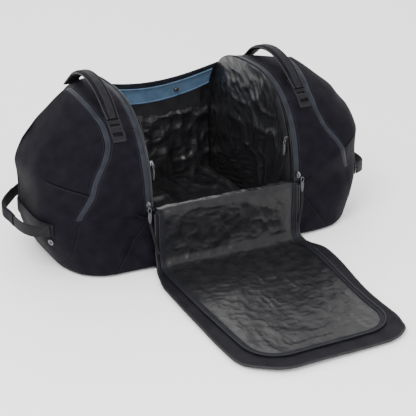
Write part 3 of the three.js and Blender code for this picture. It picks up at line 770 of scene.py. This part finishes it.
def hem_and_pocket(behind):
    half = 0.1600
    hem = rear_grid(half, lambda x: rear_top(x) - 0.040, lambda x: rear_top(x) - 0.0015, 14, 90)
    hem[..., 1] -= 0.0058 + 0.0012 * noise(hem, 0.05, 21)
    hem_piece = sheet("rear_hem_cloth", hem, 0.0012, behind, HEM)
    on_body(hem_piece, "bag", ["rear_hem"])
    for tag, row, drop in (("upper", hem[-1], 0.004), ("lower", hem[0], -0.003)):
        up = np.tile([0.0, -1.0, 0.1], (len(row), 1))
        on_body(sweep(f"hem_{tag}_roll", row, up, oval(0.0034, 0.0026), HEM), "bag")
        line = row - np.array([0, 0.0002, drop])
        on_body(stitches(f"hem_{tag}_stitches", line, up, THREAD), "bag")
    pocket = rear_grid(0.1385, lambda x: rear_top(x) - 0.098, lambda x: rear_top(x) - 0.042, 14, 60)
    pocket[..., 1] -= 0.0062 + 0.0015 * (1 + noise(pocket, 0.06, 22))
    piece = sheet("rear_pocket_cloth", pocket, 0.0012, behind, POCKET)
    on_body(piece, "bag", ["rear_pocket"])
    up = np.tile([0.0, -1.0, 0.1], (pocket.shape[1], 1))
    on_body(sweep("pocket_roll", pocket[0], up, oval(0.003, 0.0022), PIPING), "bag")


def dividers():
    up_front = np.linspace(float(t_front(FOOT_Z)), 0.5, 90)
    down_rear = np.linspace(0.5, float(t_rear(FOOT_Z)), 90)
    ts = np.concatenate([up_front, down_rear[1:]])
    arch = skin(1, ts, 0.0)
    bottom = np.linspace(arch[-1], arch[0], 40)[1:]
    outline = np.concatenate([arch, bottom])
    for name, side in SIDES:
        ring = outline * np.array([0, 1, 1]) + np.array([side * (DIVIDER_X + 0.002), 0, 0])
        centre = np.array([side * (DIVIDER_X + 0.002), MID_Y, 0.15])
        ring = centre + (ring - centre) * 0.993
        rings = np.linspace(0, 1, 56)
        p = fan(ring, centre, rings)
        slackness = (1 - rings[:, None] ** 6)
        steady = np.exp(-(((p[..., 1] + 0.172) / 0.03) ** 2 + ((p[..., 2] - 0.215) / 0.05) ** 2))
        move = 0.010 * (1 - rings[:, None] ** 2) + 0.006 * noise(p, 0.10, 31)
        move = move + 0.005 * crumple(p, 0.07, 32 + side) + 0.0028 * crumple(p, 0.032, 35 + side)
        p[..., 0] -= side * move * slackness * (1 - steady)
        outside = np.array([side * 3.0, MID_Y, 0.15])
        piece = sheet(f"divider_lining_{name}", p, 0.0030, outside, LINING)
        on_body(piece, "bag", [f"divider_{name}"])
        divider_zip(name, side)


def divider_zip(name, side):
    z = np.linspace(0.075, 0.300, 60)
    y = MID_Y - profile(side_at(z, "front"), "front")[1] * 0.94
    path = np.stack([np.full_like(z, side * (DIVIDER_X - 0.0006)), y + 0.006, z], -1)
    up = np.tile([-float(side), 0.0, 0.0], (60, 1))
    tape = sweep(f"divider_tape_{name}", path, up, strap(0.020, 0.0014), POCKET)
    on_body(tape, "bag")
    teeth = coil(f"divider_coil_{name}", path, up, COIL, width=0.005, height=0.002, lift=0.0010)
    on_body(teeth, "bag")


def floor_lining():
    front, rear = MID_Y - 0.208, MID_Y + 0.196
    x = np.linspace(-LINING_HALF, LINING_HALF, 110)[None]
    y = np.linspace(front, rear, 130)[:, None]
    x, y = np.broadcast_arrays(x, y)
    flat = np.stack([x, y, np.zeros_like(x)], -1)
    wall = np.minimum(LINING_HALF - np.abs(x), np.minimum(y - front, rear - y))
    z = LINING_Z + 0.010 * crumple(flat, 0.10, 41) + 0.004 * crumple(flat, 0.045, 42)
    z = z + 0.003 * (noise(flat, 0.1, 43) + 1)
    inner = ramp(wall, -0.01, 0.03)
    z = z * inner + LINING_Z * (1 - inner) + 0.02 * np.exp(-wall / 0.008)
    p = np.stack([x, y, z], -1)
    piece = sheet("floor_lining", p, LINING_THICK, np.array([0, MID_Y, -3.0]), LINING)
    on_body(piece, "bag", ["base_board"])


def base():
    ws = bunched(24)
    corners = [(0, ws, 1), (1, ws[::-1], 1), (1, ws, -1), (0, ws[::-1], -1)]
    outline = np.concatenate([pod(side, float(t), w) for t, w, side in corners])
    outline = np.concatenate([outline, outline[:1]])
    outline[:, 2] = BASE_Z
    centre = np.array([0, MID_Y, BASE_Z])
    rings = 1 - (1 - np.linspace(0, 1, 40)) ** 1.5
    p = fan(outline, centre, rings * 0.998)
    p[..., 2] = BASE_Z + 0.003 * rings[:, None] ** 30
    piece = sheet("base_cloth", p, BASE_THICK, np.array([0, MID_Y, 1.0]), CLOTH, BACKING)
    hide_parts("base_panel")
    on_body(piece, "bag")


# ---- Handles, tabs and bands ----

def skin_at_y(side, x, y, end):
    """The pod skin's parameter t where it passes depth y at distance x, and the point there."""
    ts = np.linspace(0.12, 0.5, 400) if end == "front" else np.linspace(0.88, 0.5, 400)
    ys = pod(side, ts, w_at(ts, x))[:, 1]
    order = np.argsort(ys)
    return np.interp(y, ys[order], ts[order])


def lash_tab(side, end, label):
    sign = -1 if end == "front" else 1
    t0 = float(skin_at_y(side, GRAB_X, sign * 0.090, end))
    t1 = float(skin_at_y(side, GRAB_X, sign * 0.152, end))
    ts = np.linspace(t0, t1, 41)[:, None]
    xs = np.linspace(GRAB_X - 0.0155, GRAB_X + 0.0155, 25)[None]
    p = pod(side, ts, w_at(ts, xs))
    row, column = np.meshgrid(np.arange(40), np.arange(24), indexing="ij")
    slot = (np.abs(column - 11.5) < 8) & ((np.abs(row - 31.5) < 2.5) | (np.abs(row - 21.5) < 1.5))
    tab = sheet(label, p, 0.0022, pod_middle(side), WEBBING, lift=0.0034, holes=slot)
    middle = (t0 + t1) / 2
    for tag, dx in (("in", -0.0125), ("out", 0.0125)):
        ps, n = on_pod(side, ts[:, 0], np.full(41, GRAB_X + dx))
        on_body(stitches(f"{label}_stitches_{tag}", ps + n * 0.0036, n, THREAD), "bag")
    reach = t1 - t0
    for tag, t in (("a", middle + 0.12 * reach), ("b", t1 - 0.04 * reach), ("c", middle - 0.06 * reach)):
        ps, n = on_pod(side, np.full(12, t), np.linspace(GRAB_X - 0.012, GRAB_X + 0.012, 12))
        on_body(stitches(f"{label}_bar_{tag}", ps + n * 0.0036, n, THREAD, pitch=0.0022), "bag")
    return tab


def on_grab(piece, replaces=()):
    """Bakes the transform of a piece of a top handle into its mesh and hides the parts it replaces; the piece
    is attached to no body.
    """
    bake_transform(piece)
    if replaces:
        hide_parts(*replaces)


def grab_handle(name, side):
    f = np.linspace(-1, 1, 81)
    y = -0.095 + 0.18 * (f + 1) / 2
    z = 0.338 + 0.015 * (f + 1) / 2 + 0.029 * (1 - f * f)
    path = np.stack([np.full_like(f, side * GRAB_X), y, z], 1)
    feet = []
    for end, yy in (("front", -0.118), ("rear", 0.120)):
        t = float(skin_at_y(side, GRAB_X, yy, end))
        p, n = on_pod(side, np.array([t]), np.array([GRAB_X]))
        feet.append(p[0] + n[0] * 0.0055)
    path = np.concatenate([[feet[0]], path[4:-4], [feet[1]]])
    path, _ = resample(path, np.tile([0.0, 0.0, 1.0], (len(path), 1)), 0.003)
    for _ in range(6):
        path[1:-1] = (path[:-2] + 2 * path[1:-1] + path[2:]) / 4
    along = unit(np.gradient(path, axis=0))
    up = np.cross(np.array([1.0, 0, 0]), along)
    g = np.linspace(-1, 1, len(path))
    thick = 1 - 0.62 * np.abs(g) ** 5
    wide = 1 - 0.14 * np.abs(g) ** 6
    scale = np.stack([wide, thick], 1)
    pad = sweep(f"grab_pad_{name}", path, up, strap(0.0275, 0.0090, 0.0040, 6), CLOTH, scale=scale)
    on_grab(pad, [f"grab_handle_{name}"])
    flat = strap(0.0150, 0.0102, 0.0012)
    core = sweep(f"grab_strap_{name}", path + up * 0.0002, up, flat, WEBBING, scale=scale)
    on_grab(core)
    for tag, sign in (("in", -1), ("out", 1)):
        edge = path + np.array([sign, 0, 0]) * 0.0138 * wide[:, None]
        piping = sweep(f"grab_piping_{tag}_{name}", edge, up, oval(0.0034, 0.0034), PIPING)
        on_grab(piping)
        line = path + np.array([sign, 0, 0]) * 0.0064 * wide[:, None] + up * 0.0053 * thick[:, None]
        on_grab(stitches(f"grab_stitches_{tag}_{name}", line, up, THREAD))


def round_nose(side, z, reach, count=24):
    """Points and horizontal normals round the nose at height z, within `reach` of the middle line."""
    ws = np.linspace(0, 1, 900)
    w_end = float(ws[np.abs(pod(side, float(t_front(z)), ws)[:, 1] - MID_Y) < reach][0])
    w_rear = float(ws[np.abs(pod(side, float(t_rear(z)), ws)[:, 1] - MID_Y) < reach][0])
    front = pod(side, float(t_front(z)), np.linspace(w_end, 1, count))
    rear = pod(side, float(t_rear(z)), np.linspace(1, w_rear, count))
    path = np.concatenate([front, rear[1:]])
    along = unit(np.gradient(path, axis=0))
    out = unit(np.cross(along, [0, 0, 1.0]) * side)
    if np.mean(out[:, 0] * side) < 0:
        out = -out
    return path, out


def end_band(name, side):
    rows = []
    for dz in np.linspace(-0.0125, 0.0125, 6):
        path, _ = round_nose(side, END_Z + dz, 0.152, 40)
        rows.append(path)
    piece = sheet(f"end_band_webbing_{name}", np.array(rows), 0.0018, pod_middle(side), WEBBING, lift=0.0030,
                  uv=grid_uv(np.array(rows))[..., ::-1])
    on_body(piece, "bag", [f"end_band_{name}"])
    for tag, dz in (("upper", 0.0105), ("lower", -0.0105)):
        path, out = round_nose(side, END_Z + dz, 0.150, 60)
        row = stitches(f"end_band_stitches_{tag}_{name}", path + out * 0.0031, out, THREAD)
        on_body(row, "bag")


def end_handle(name, side):
    path, out = round_nose(side, END_Z, 0.146, 40)
    f = np.linspace(-1, 1, len(path))
    bulge = (1 - np.abs(f) ** 2.2)
    path = path + out * (0.0050 + 0.0285 * bulge)[:, None]
    path[:, 2] -= 0.006 * bulge
    path, out = resample(path, out, 0.004)
    piece = sweep(f"end_strap_{name}", path, out, strap(0.0250, 0.0036, 0.0014), WEBBING)
    on_body(piece, f"end_handle_{name}", [f"end_handle_{name}"])
    g = np.abs(np.linspace(-1, 1, len(path)))
    grip = path[g < 0.42]
    sleeve = sweep(f"end_grip_{name}", grip, out[g < 0.42], strap(0.0268, 0.0072, 0.0034, 6), CLOTH)
    on_body(sleeve, f"end_handle_{name}")
    for end, pick in (("front", slice(0, 9)), ("rear", slice(-9, None))):
        for tag, sign in (("up", 1), ("down", -1)):
            line, over = path[pick], out[pick]
            h = np.linspace(-1, 1, len(line)) * sign * 0.0095
            line = line + np.stack([0 * h, 0 * h, h], 1) + over * 0.0020
            on_body(stitches(f"end_cross_{end}_{tag}_{name}", line, over, THREAD, pitch=0.0024),
                    f"end_handle_{name}")


def webbing():
    for name, side in SIDES:
        on_body(lash_tab(side, "front", f"lash_webbing_{name}"), "bag", [f"lash_tab_{name}"])
        on_body(lash_tab(side, "rear", f"rear_webbing_{name}"), "bag", [f"rear_tab_{name}"])
        grab_handle(name, side)
        end_band(name, side)
        end_handle(name, side)


# ---- Small hardware ----

def placed(points, at, axes):
    return np.asarray(at) + np.asarray(points, float) @ np.array(axes, float)


def ring_path(rx, ry, count=28):
    a = np.linspace(0, 2 * np.pi, count + 1)
    return np.stack([rx * np.cos(a), ry * np.sin(a), 0 * a], 1)


def slider(label, body, at, axes, node):
    """A zip slider: two teardrop plates joined by a post, with a bridge for the pull."""
    a = np.linspace(0, 2 * np.pi, 41)
    outline = np.stack([(0.0043 - 0.0010 * np.sin(a)) * np.cos(a), 0.0070 * np.sin(a), 0 * a], 1)
    rings = 1 - (1 - np.linspace(0, 1, 8)) ** 2
    for tag, z in (("base", 0.0016), ("top", 0.0052)):
        p = fan(outline, np.zeros(3), rings)
        p[..., 2] = z - 0.0004 * rings[:, None] ** 4
        inside = placed([[0, 0, -1.0]], at, axes)[0]
        plate = sheet(f"{label}_{tag}", placed(p, at, axes), 0.0014, inside, METAL)
        on_body(plate, body, [node] if tag == "base" else [])
    post = np.array([[0, 0.0035, z] for z in np.linspace(0.0004, 0.0050, 6)])
    post = sweep(f"{label}_post", placed(post, at, axes), axes[0], oval(0.0042, 0.0030), METAL)
    on_body(post, body)
    f = np.linspace(-1, 1, 16)
    arch = np.stack([0 * f, 0.0046 * f, 0.0046 + 0.0026 * np.sqrt(np.maximum(1 - f**4, 0))], 1)
    arch = placed(arch, at, axes)
    on_body(sweep(f"{label}_bridge", arch, axes[2], oval(0.0026, 0.0012), METAL), body)


def pull(label, body, at, axes, tab, tail, node, drift=(0.0, 0.0, 0.0)):
    """A ring, a moulded tab that tapers, and a folded webbing tail, hanging down the -Y of axes."""
    ring = ring_path(0.0036, 0.0062) + np.array([0, -0.0040, 0.0006])
    ring = sweep(f"{label}_ring", placed(ring, at, axes), axes[2], oval(0.0015, 0.0015), METAL)
    on_body(ring, body)
    y = np.linspace(-0.0085, -tab, 26)
    f = (y - y[0]) / (y[-1] - y[0])
    path = np.stack([0 * y, y, 0.0008 + 0 * y], 1)
    wide = (0.80 + 0.35 * np.sin(np.pi * np.clip(f * 1.15, 0, 1)) - 0.25 * f) * np.clip(0.45 + 6 * f, 0, 1)
    wide = wide * np.sqrt(np.clip((1 - f) * 9, 0.12, 1))
    scale = np.stack([wide, 0.75 + 0.25 * np.sin(np.pi * f)], 1)
    flat = strap(0.0078, 0.0030, 0.0013, 5)
    body_tab = sweep(f"{label}_tab", placed(path, at, axes), axes[2], flat, PULL, scale=scale)
    on_body(body_tab, body, [node])
    groove = path[6:-7:5] + np.array([0, 0, 0.0014])
    for k, c in enumerate(groove):
        bar = c + np.linspace(-0.0022, 0.0022, 5)[:, None] * np.array([1.0, 0, 0])
        grip = sweep(f"{label}_grip_{k}", placed(bar, at, axes), axes[2], oval(0.0012, 0.0010, 8), PULL)
        on_body(grip, body)
    if tail <= 0.012:
        return
    y = np.linspace(-tab + 0.004, -tab - tail, 30)
    f = (y - y[0]) / (y[-1] - y[0])
    path = np.stack([0.0012 * np.sin(f * 4), y, 0.0008 + 0.0014 * np.sin(f * 5)], 1)
    path = placed(path, at, axes) + f[:, None] ** 1.5 * np.array(drift)
    scale = np.stack([1 - 0.15 * f, np.where(f > 0.93, 1.5, 1.0)], 1)
    tail_piece = sweep(f"{label}_tail", path, axes[2], strap(0.0064, 0.0018, 0.0008), WEBBING, scale=scale)
    on_body(tail_piece, body)


UPRIGHT = np.array([[1.0, 0, 0], [0, 0, 1.0], [0, -1.0, 0]])


def hardware():
    z = 0.146
    x = OPENING_HALF + 0.009
    y = MID_Y - profile(side_at(np.array(z), "front"), "front")[1]
    for name, side in SIDES:
        slider(f"main_slider_body_{name}", f"main_slider_{name}", (side * x, float(y) - 0.0012, z), UPRIGHT,
               f"main_slider_{name}")
        drift = (-side * 0.013, -0.0155, 0.0)
        top = (side * (x + 0.003), -0.2082, z - 0.004)
        node = f"main_pull_{name}"
        pull(f"{node}_hang", node, top, UPRIGHT, 0.034, 0.066, node, drift)
        above = POD_SLIDER_Z + 0.008
        p, n = on_pod(side, np.array([float(t_rear(POD_SLIDER_Z))]), np.array([float(zip_x(POD_SLIDER_Z))]))
        up = unit(on_pod(side, np.array([float(t_rear(above))]), np.array([float(zip_x(above))]))[0] - p)
        across = unit(np.cross(up, n))
        axes = np.concatenate([across, np.cross(n, across), n])
        slider(f"pod_slider_body_{name}", f"pod_slider_{name}", p[0], axes, f"pod_slider_{name}")
        hang = unit(n[0] * np.array([1, 1, 0]))
        hang_axes = np.array([np.cross([0, 0, 1.0], hang), [0, 0, 1.0], hang])
        top = p[0] + n[0] * 0.0085
        pull(f"pod_pull_{name}_hang", f"pod_pull_{name}", top, hang_axes, 0.030, 0.028, f"pod_pull_{name}")
        inward = np.array([[0, -float(side), 0], [0, 0, 1.0], [-float(side), 0, 0]])
        slider(f"divider_slider_body_{name}", f"divider_slider_{name}",
               (side * (DIVIDER_X - 0.001), -0.172, 0.225), inward, f"divider_slider_{name}")
        top = (side * (DIVIDER_X - 0.0082), -0.172, 0.223)
        node = f"divider_pull_{name}"
        pull(f"{node}_hang", node, top, inward, 0.036, 0.0, node)
    eyelets_and_snaps()


def eyelets_and_snaps():
    t = float(t_front(0.074))
    ws = np.linspace(0, 1, 900)
    for name, side in SIDES:
        w = float(ws[pod(side, t, ws)[:, 1] - MID_Y > -0.140][0])
        p, n = on_pod(side, np.array([t]), np.array([abs(float(pod(side, t, w)[0]))]))
        across = unit(np.cross([0, 0, 1.0], n[0]))
        axes = np.array([across, np.cross(n[0], across), n[0]])
        at = p[0] + n[0] * 0.0012
        path = placed(ring_path(0.0050, 0.0050), at, axes)
        ring = sweep(f"eyelet_ring_{name}", path, n[0], oval(0.0040, 0.0022), METAL)
        on_body(ring, "bag", [f"eyelet_{name}"])
        a = np.linspace(0, 2 * np.pi, 29)
        rim = np.stack([0.0042 * np.cos(a), 0.0042 * np.sin(a), 0 * a], 1)
        disc = placed(fan(rim, np.zeros(3), np.linspace(0, 1, 5)), at - n[0] * 0.0006, axes)
        disc = sheet(f"eyelet_hole_{name}", disc, 0.0006, pod_middle(side), BACKING)
        on_body(disc, "bag")
        lo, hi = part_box(f"hem_snap_{name}")
        snap(name, (np.array(lo) + np.array(hi)) / 2)


def snap(name, at):
    """A press stud: a domed cap with a rim and a recess."""
    inward = unit(np.array([0.0, -1.0, 0.12]))
    up = unit(np.cross([1.0, 0, 0], inward)) * -1
    axes = np.array([[1.0, 0, 0], up, inward])
    a = np.linspace(0, 2 * np.pi, 41)
    rows = [np.stack([r * np.cos(a), r * np.sin(a), h + 0 * a], 1)
            for r, h in ((0, 0.0004), (0.0018, 0.0004), (0.0026, 0.0016), (0.0040, 0.0017), (0.0054, 0.0010),
                         (0.0060, -0.0006), (0.0062, -0.0018))]
    p = placed(np.array(rows), at, axes)
    piece = sheet(f"hem_stud_{name}", p, 0.0006, at - inward * 0.5, SNAP)
    on_body(piece, "bag", [f"hem_snap_{name}"])


# ---- Front panel, laid open as the mat ----

FLAP_PATH = np.array([
    (-0.186, 0.112), (-0.188, 0.130), (-0.196, 0.1365), (-0.206, 0.1365), (-0.2145, 0.127),
    (-0.2165, 0.095), (-0.2170, 0.060), (-0.2190, 0.028), (-0.2265, 0.0115), (-0.245, 0.0058),
])
FLAT_FROM = -0.245 - DROP_Y
CUTS = (-0.048, 0.0825, 0.225, 0.340)
KNOTS = np.concatenate([[0], np.cumsum(np.linalg.norm(np.diff(FLAP_PATH, axis=0), axis=1))])
KNOTS = KNOTS - KNOTS[-1] - FLAT_FROM
LIP_START = float(KNOTS[0])
flap_y = smooth(list(zip(KNOTS, FLAP_PATH[:, 0])) + [(0.7, DROP_Y - 0.7)])
flap_z = smooth(list(zip(KNOTS, FLAP_PATH[:, 1])) + [(0.1, 0.0056), (0.7, 0.0056)])


def path_at(d):
    """The flap's lining line at distance d past the floor fold, and its normal."""
    d = np.asarray(d, float)
    y = np.where(d > -FLAT_FROM, DROP_Y - d, flap_y(d))
    pick = lambda v: np.stack([np.where(v > -FLAT_FROM, DROP_Y - v, flap_y(v)), flap_z(v)], -1)
    along = unit(pick(d + 0.002) - pick(d - 0.002))
    return y, flap_z(d), np.stack([along[..., 1], -along[..., 0]], -1)


def flap(x, d, lift):
    """A point of the flap: x across, d along from the floor fold, lifted off the lining line."""
    x, d, lift = np.broadcast_arrays(x, d, lift)
    y, z, n = path_at(d)
    flat = np.stack([x, d, 0 * d], -1)
    on_mat = ramp(d, 0.02, 0.08)
    wave = 0.0030 * (noise(flat, 0.16, 51) + 0.8) + 0.0016 * (noise(flat, 0.07, 52) + 1)
    edge = ramp(np.abs(x), 0.12, 0.19)
    curl = 0.006 * on_mat * ramp(d, 0.38, 0.463) * (noise(flat, 0.13, 53) + 0.9)
    wave = wave * on_mat * (0.25 + 0.75 * edge) + curl
    hang = 0.0025 * noise(flat, 0.09, 54) * ramp(d, -0.10, -0.07) * (1 - on_mat)
    lift = lift + wave + np.maximum(hang, -0.001)
    skew = -(0.013 + 0.009 * ramp(np.abs(x), 0.150, 0.175)) * ramp(d, 0.05, 0.35)
    return np.stack([x + skew, y + n[..., 0] * lift, z + n[..., 1] * lift], -1)


def half_of(layer, d, inset=0.0):
    """Half width of a mat layer at distance d, rounded off at its two far corners."""
    radius = layer["corner"] - inset
    past = np.clip(d - (layer["length"] - inset - radius), 0, radius)
    table = smooth(layer["half"])
    return table(np.maximum(d, 0)) - inset - radius + np.sqrt(np.maximum(radius**2 - past**2, 0))


def shell_half(d):
    lip = ramp(d, -0.128, -0.112)
    return half_of(MAT_SHELL, d) - 0.002 * (1 - ramp(d, -0.03, 0.0)) - 0.009 * (1 - lip)


def zip_half(d):
    return half_of(MAT_ZIP, d)


def lining_half(d):
    lip = 1 - ramp(d, -0.128, -0.112)
    return half_of(MAT_ZIP, d, MAT_TAPE) * (1 - lip) + 0.1630 * lip


def flap_rows(start, end, layer, inset=0.0, step=0.003):
    """Distances from start to end, or on to the layer's rounded far end when end is None."""
    if end is not None:
        return np.linspace(start, end, max(int((end - start) / step), 2) + 1)
    radius = layer["corner"] - inset
    bend = layer["length"] - inset - radius
    a = np.linspace(0, np.pi / 2, 30)[1:] * 0.995
    straight = np.linspace(start, bend, int((bend - start) / step) + 1)
    return np.concatenate([straight, bend + radius * np.sin(a)])


def creased(x, d, half):
    """How far the loose lining stands up between its sewn edges."""
    flat = np.stack(np.broadcast_arrays(x, d, 0 * d), -1)
    height = 0.0013 * crumple(flat, 0.085, 61) + 0.0010 * crumple(flat, 0.05, 62)
    height = height + 0.0009 * crumple(flat, 0.026, 63) + 0.0006 * crumple(flat, 0.013, 64)
    height = height + 0.0016 * ramp(noise(flat, 0.12, 65), 0.0, 0.8)
    rows_end = MAT_ZIP["length"] - MAT_TAPE
    inner = np.minimum(half - np.abs(x), rows_end - d)
    return height * ramp(inner, 0.0, 0.022) * (0.75 + 0.5 * (1 - ramp(d, 0.0, 0.08)))


BLENDS = (
    ("lip", "bag", "drop", (0, -0.203, 0.132), (0, -0.233, 0.102)),
    ("foot", "drop", "mat_1", (0, DROP_Y, 0.045), (0, -0.260, 0.0056)),
    ("near", "mat_1", "mat_2", (0, -0.340, 0.0), (0, -0.395, 0.0)),
    ("middle", "mat_2", "mat_3", (0, -0.490, 0.0), (0, -0.545, 0.0)),
    ("far", "mat_3", None, None, None),
)
NODES = {
    "lip": {},
    "foot": {"shell": ["drop_shell"], "lining": ["drop_lining"],
             "tape": {"left": ["drop_zip_tape_left"], "right": ["drop_zip_tape_right"]}},
    "near": {"shell": ["mat_1_shell"], "lining": ["mat_1_lining"],
             "tape": {"left": ["mat_1_zip_tape_left"], "right": ["mat_1_zip_tape_right"]}},
    "middle": {"shell": ["mat_2_shell"], "lining": ["mat_2_lining"],
               "tape": {"left": ["mat_2_zip_tape_left"], "right": ["mat_2_zip_tape_right"]}},
    "far": {"shell": ["mat_3_shell"], "lining": ["mat_3_lining"],
            "tape": {"left": ["mat_3_zip_tape"], "right": []}},
}


def hinged(piece, section, nodes=()):
    """Attaches a piece of the last flap section to that section's body, only bakes the transform of a piece
    of any other section, and hides the parts it replaces.
    """
    _, a, b, start, end = section
    if b is None:
        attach(piece, a)
    else:
        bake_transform(piece)
    if nodes:
        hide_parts(*nodes)
    return piece


def flap_sheet(label, section, rows, half, columns, lift, thick, mats, nodes,
               relief=None):
    """One layer of a flap section, laid along the flap's own path."""
    x = half(rows)[:, None] * np.linspace(-1, 1, columns + 1)[None]
    d = rows[:, None]
    height = lift + (relief(x, d, half(rows)[:, None]) if relief else 0)
    p = flap(x, d, height)
    uv = np.stack(np.broadcast_arrays(x, d), -1)
    beneath = flap(0.0, rows, -1.0).mean(0)
    piece = sheet(label, p, thick, beneath, *mats, uv=uv)
    hinged(piece, section, nodes)
    width, length = 2 * float(half(rows).max()), float(rows[-1] - rows[0])
    widths = 2 * half(rows)
    return piece


def flap_section(section, start, end):
    tag = section[0]
    nodes = NODES[tag]
    rows = flap_rows(start, end, MAT_SHELL)
    flap_sheet(f"flap_shell_{tag}", section, rows, shell_half, 90, -0.0024, 0.0032, (BACKING_TOP, CLOTH),
               nodes.get("shell", []))
    rows = flap_rows(start, end, MAT_ZIP, MAT_TAPE, 0.0026)
    flap_sheet(f"flap_lining_{tag}", section, rows, lining_half, 120, -0.0010, LINING_THICK, (MAT_LINING,),
               nodes.get("lining", []), relief=creased)
    trims = flap_rows(max(start, TRIM_START), end, MAT_ZIP, 0.0)
    tapes = nodes.get("tape", {"left": [], "right": []})
    for name, sign in SIDES:
        inner = flap_rows(max(start, TRIM_START), end, MAT_ZIP, MAT_TAPE)
        outer = np.interp(np.linspace(0, 1, len(inner)), np.linspace(0, 1, len(trims)), trims)
        f = np.linspace(0, 1, 5)[None]
        d = inner[:, None] * (1 - f) + outer[:, None] * f
        x = sign * (half_of(MAT_ZIP, inner, MAT_TAPE)[:, None] * (1 - f) + zip_half(outer)[:, None] * f)
        if end is None:
            centre = np.linspace(1, 0, 24)[1:, None]
            x = np.concatenate([x, x[-1] * centre])
            d = np.concatenate([d, np.repeat(d[-1:], 23, 0)])
        beneath = flap(0.0, rows, -1.0).mean(0)
        tape = sheet(f"flap_tape_{tag}_{name}", flap(x, d, 0.0003), 0.0014, beneath, FLAP_TAPE)
        hinged(tape, section, tapes[name])
        flap_trim(section, tag, name, sign, start, end)


def whole_line(sign, start, end, layer, inset):
    """x and d along one side of a layer, carried on to the middle of its far end in the last section."""
    d = flap_rows(start, end, layer, inset)
    x = half_of(layer, d, inset)
    if end is None:
        x = np.concatenate([x, x[-1] * np.linspace(1, 0, 40)[1:]])
        d = np.concatenate([d, np.full(39, d[-1])])
    return sign * x, d


# Kind, the layer it follows, its distance in from that layer's edge, and its lift off the lining line
TRIM_LINES = (
    ("coil", MAT_ZIP, 0.0010, 0.0014),
    ("inner", MAT_ZIP, 0.0105, 0.0012),
    ("outer", MAT_ZIP, 0.0052, 0.0006),
    ("edge", MAT_SHELL, 0.0055, -0.0020),
    ("binding", MAT_SHELL, 0.0012, -0.0036),
)


def flap_trim(section, tag, name, sign, start, end):
    first = max(start, TRIM_START)
    for kind, layer, inset, lift in TRIM_LINES:
        x, d = whole_line(sign, first, end, layer, inset)
        p = flap(x, d, lift)
        up = unit(flap(x, d, lift + 0.01) - p)
        label = f"flap_{kind}_{tag}_{name}"
        if kind == "coil":
            piece, slot = coil(label, p, up, COIL, width=0.0040, height=0.0020), "zip_tape"
        elif kind == "binding":
            piece, slot = sweep(label, p, up, oval(0.0046, 0.0048), PIPING), "shell_fabric"
        else:
            piece, slot = stitches(label, p, up, THREAD), "shell_fabric"
        hinged(piece, section)


BACKING_TOP = woven("flap_margin_cloth", (0.0045, 0.0042, 0.0062), (0.008, 0.0076, 0.0105), 0.65, 0.0011,
                    0.00007, wrinkle=0.0012, specular=0.09)


def front_panel():
    starts = (LIP_START, *CUTS)
    ends = (*CUTS, None)
    for section, start, end in zip(BLENDS, starts, ends):
        flap_section(section, start, end)


# ---- Scene ----

FLOOR_HALF = 30
FLOOR_Z = -0.0015


def stage():
    mesh = bpy.data.meshes.new("floor")
    corners = [(x * FLOOR_HALF, y * FLOOR_HALF, FLOOR_Z) for x, y in ((-1, -1), (1, -1), (1, 1), (-1, 1))]
    mesh.from_pydata(corners, [], [(0, 1, 2, 3)])
    floor = link("floor", mesh)
    mat = bpy.data.materials.new("floor_white")
    mat.use_nodes = True
    shader = mat.node_tree.nodes["Principled BSDF"]
    shader.inputs["Base Color"].default_value = (0.94, 0.94, 0.94, 1)
    shader.inputs["Roughness"].default_value = 0.6
    mesh.materials.append(mat)
    world = bpy.data.worlds.new("studio")
    bpy.context.scene.world = world
    world.use_nodes = True
    world.node_tree.nodes["Background"].inputs["Color"].default_value = (1, 1, 1, 1)
    world.node_tree.nodes["Background"].inputs["Strength"].default_value = 1.8
    lamp("key", (-2.2, -1.6, 3.2), 1.8, 150)
    lamp("fill", (-0.6, -3.0, 1.5), 1.4, 45)
    lamp("back", (0.8, 3.0, 2.6), 2.4, 40)


def lamp(name, at, size, power):
    data = bpy.data.lights.new(name, "AREA")
    data.size, data.energy = size, power
    made = bpy.data.objects.new(name, data)
    bpy.context.scene.collection.objects.link(made)
    made.location = at
    made.rotation_mode = "QUATERNION"
    made.rotation_quaternion = (Vector(at) - Vector((0, -0.1, 0.1))).to_track_quat("Z", "Y")


def camera():
    data = bpy.data.cameras.new("camera")
    data.sensor_width, data.lens = 36.0, 94.76
    made = bpy.data.objects.new("camera", data)
    bpy.context.scene.collection.objects.link(made)
    made.location = (-1.0134, -2.0831, 1.0527)
    made.rotation_mode = "QUATERNION"
    made.rotation_quaternion = Vector((0.4182, 0.8128, -0.4056)).to_track_quat("-Z", "Y")
    data.clip_start, data.clip_end = 0.05, 100
    bpy.context.scene.camera = made


camera()
stage()
pods()
walls()
dividers()
floor_lining()
base()
webbing()
hardware()
front_panel()
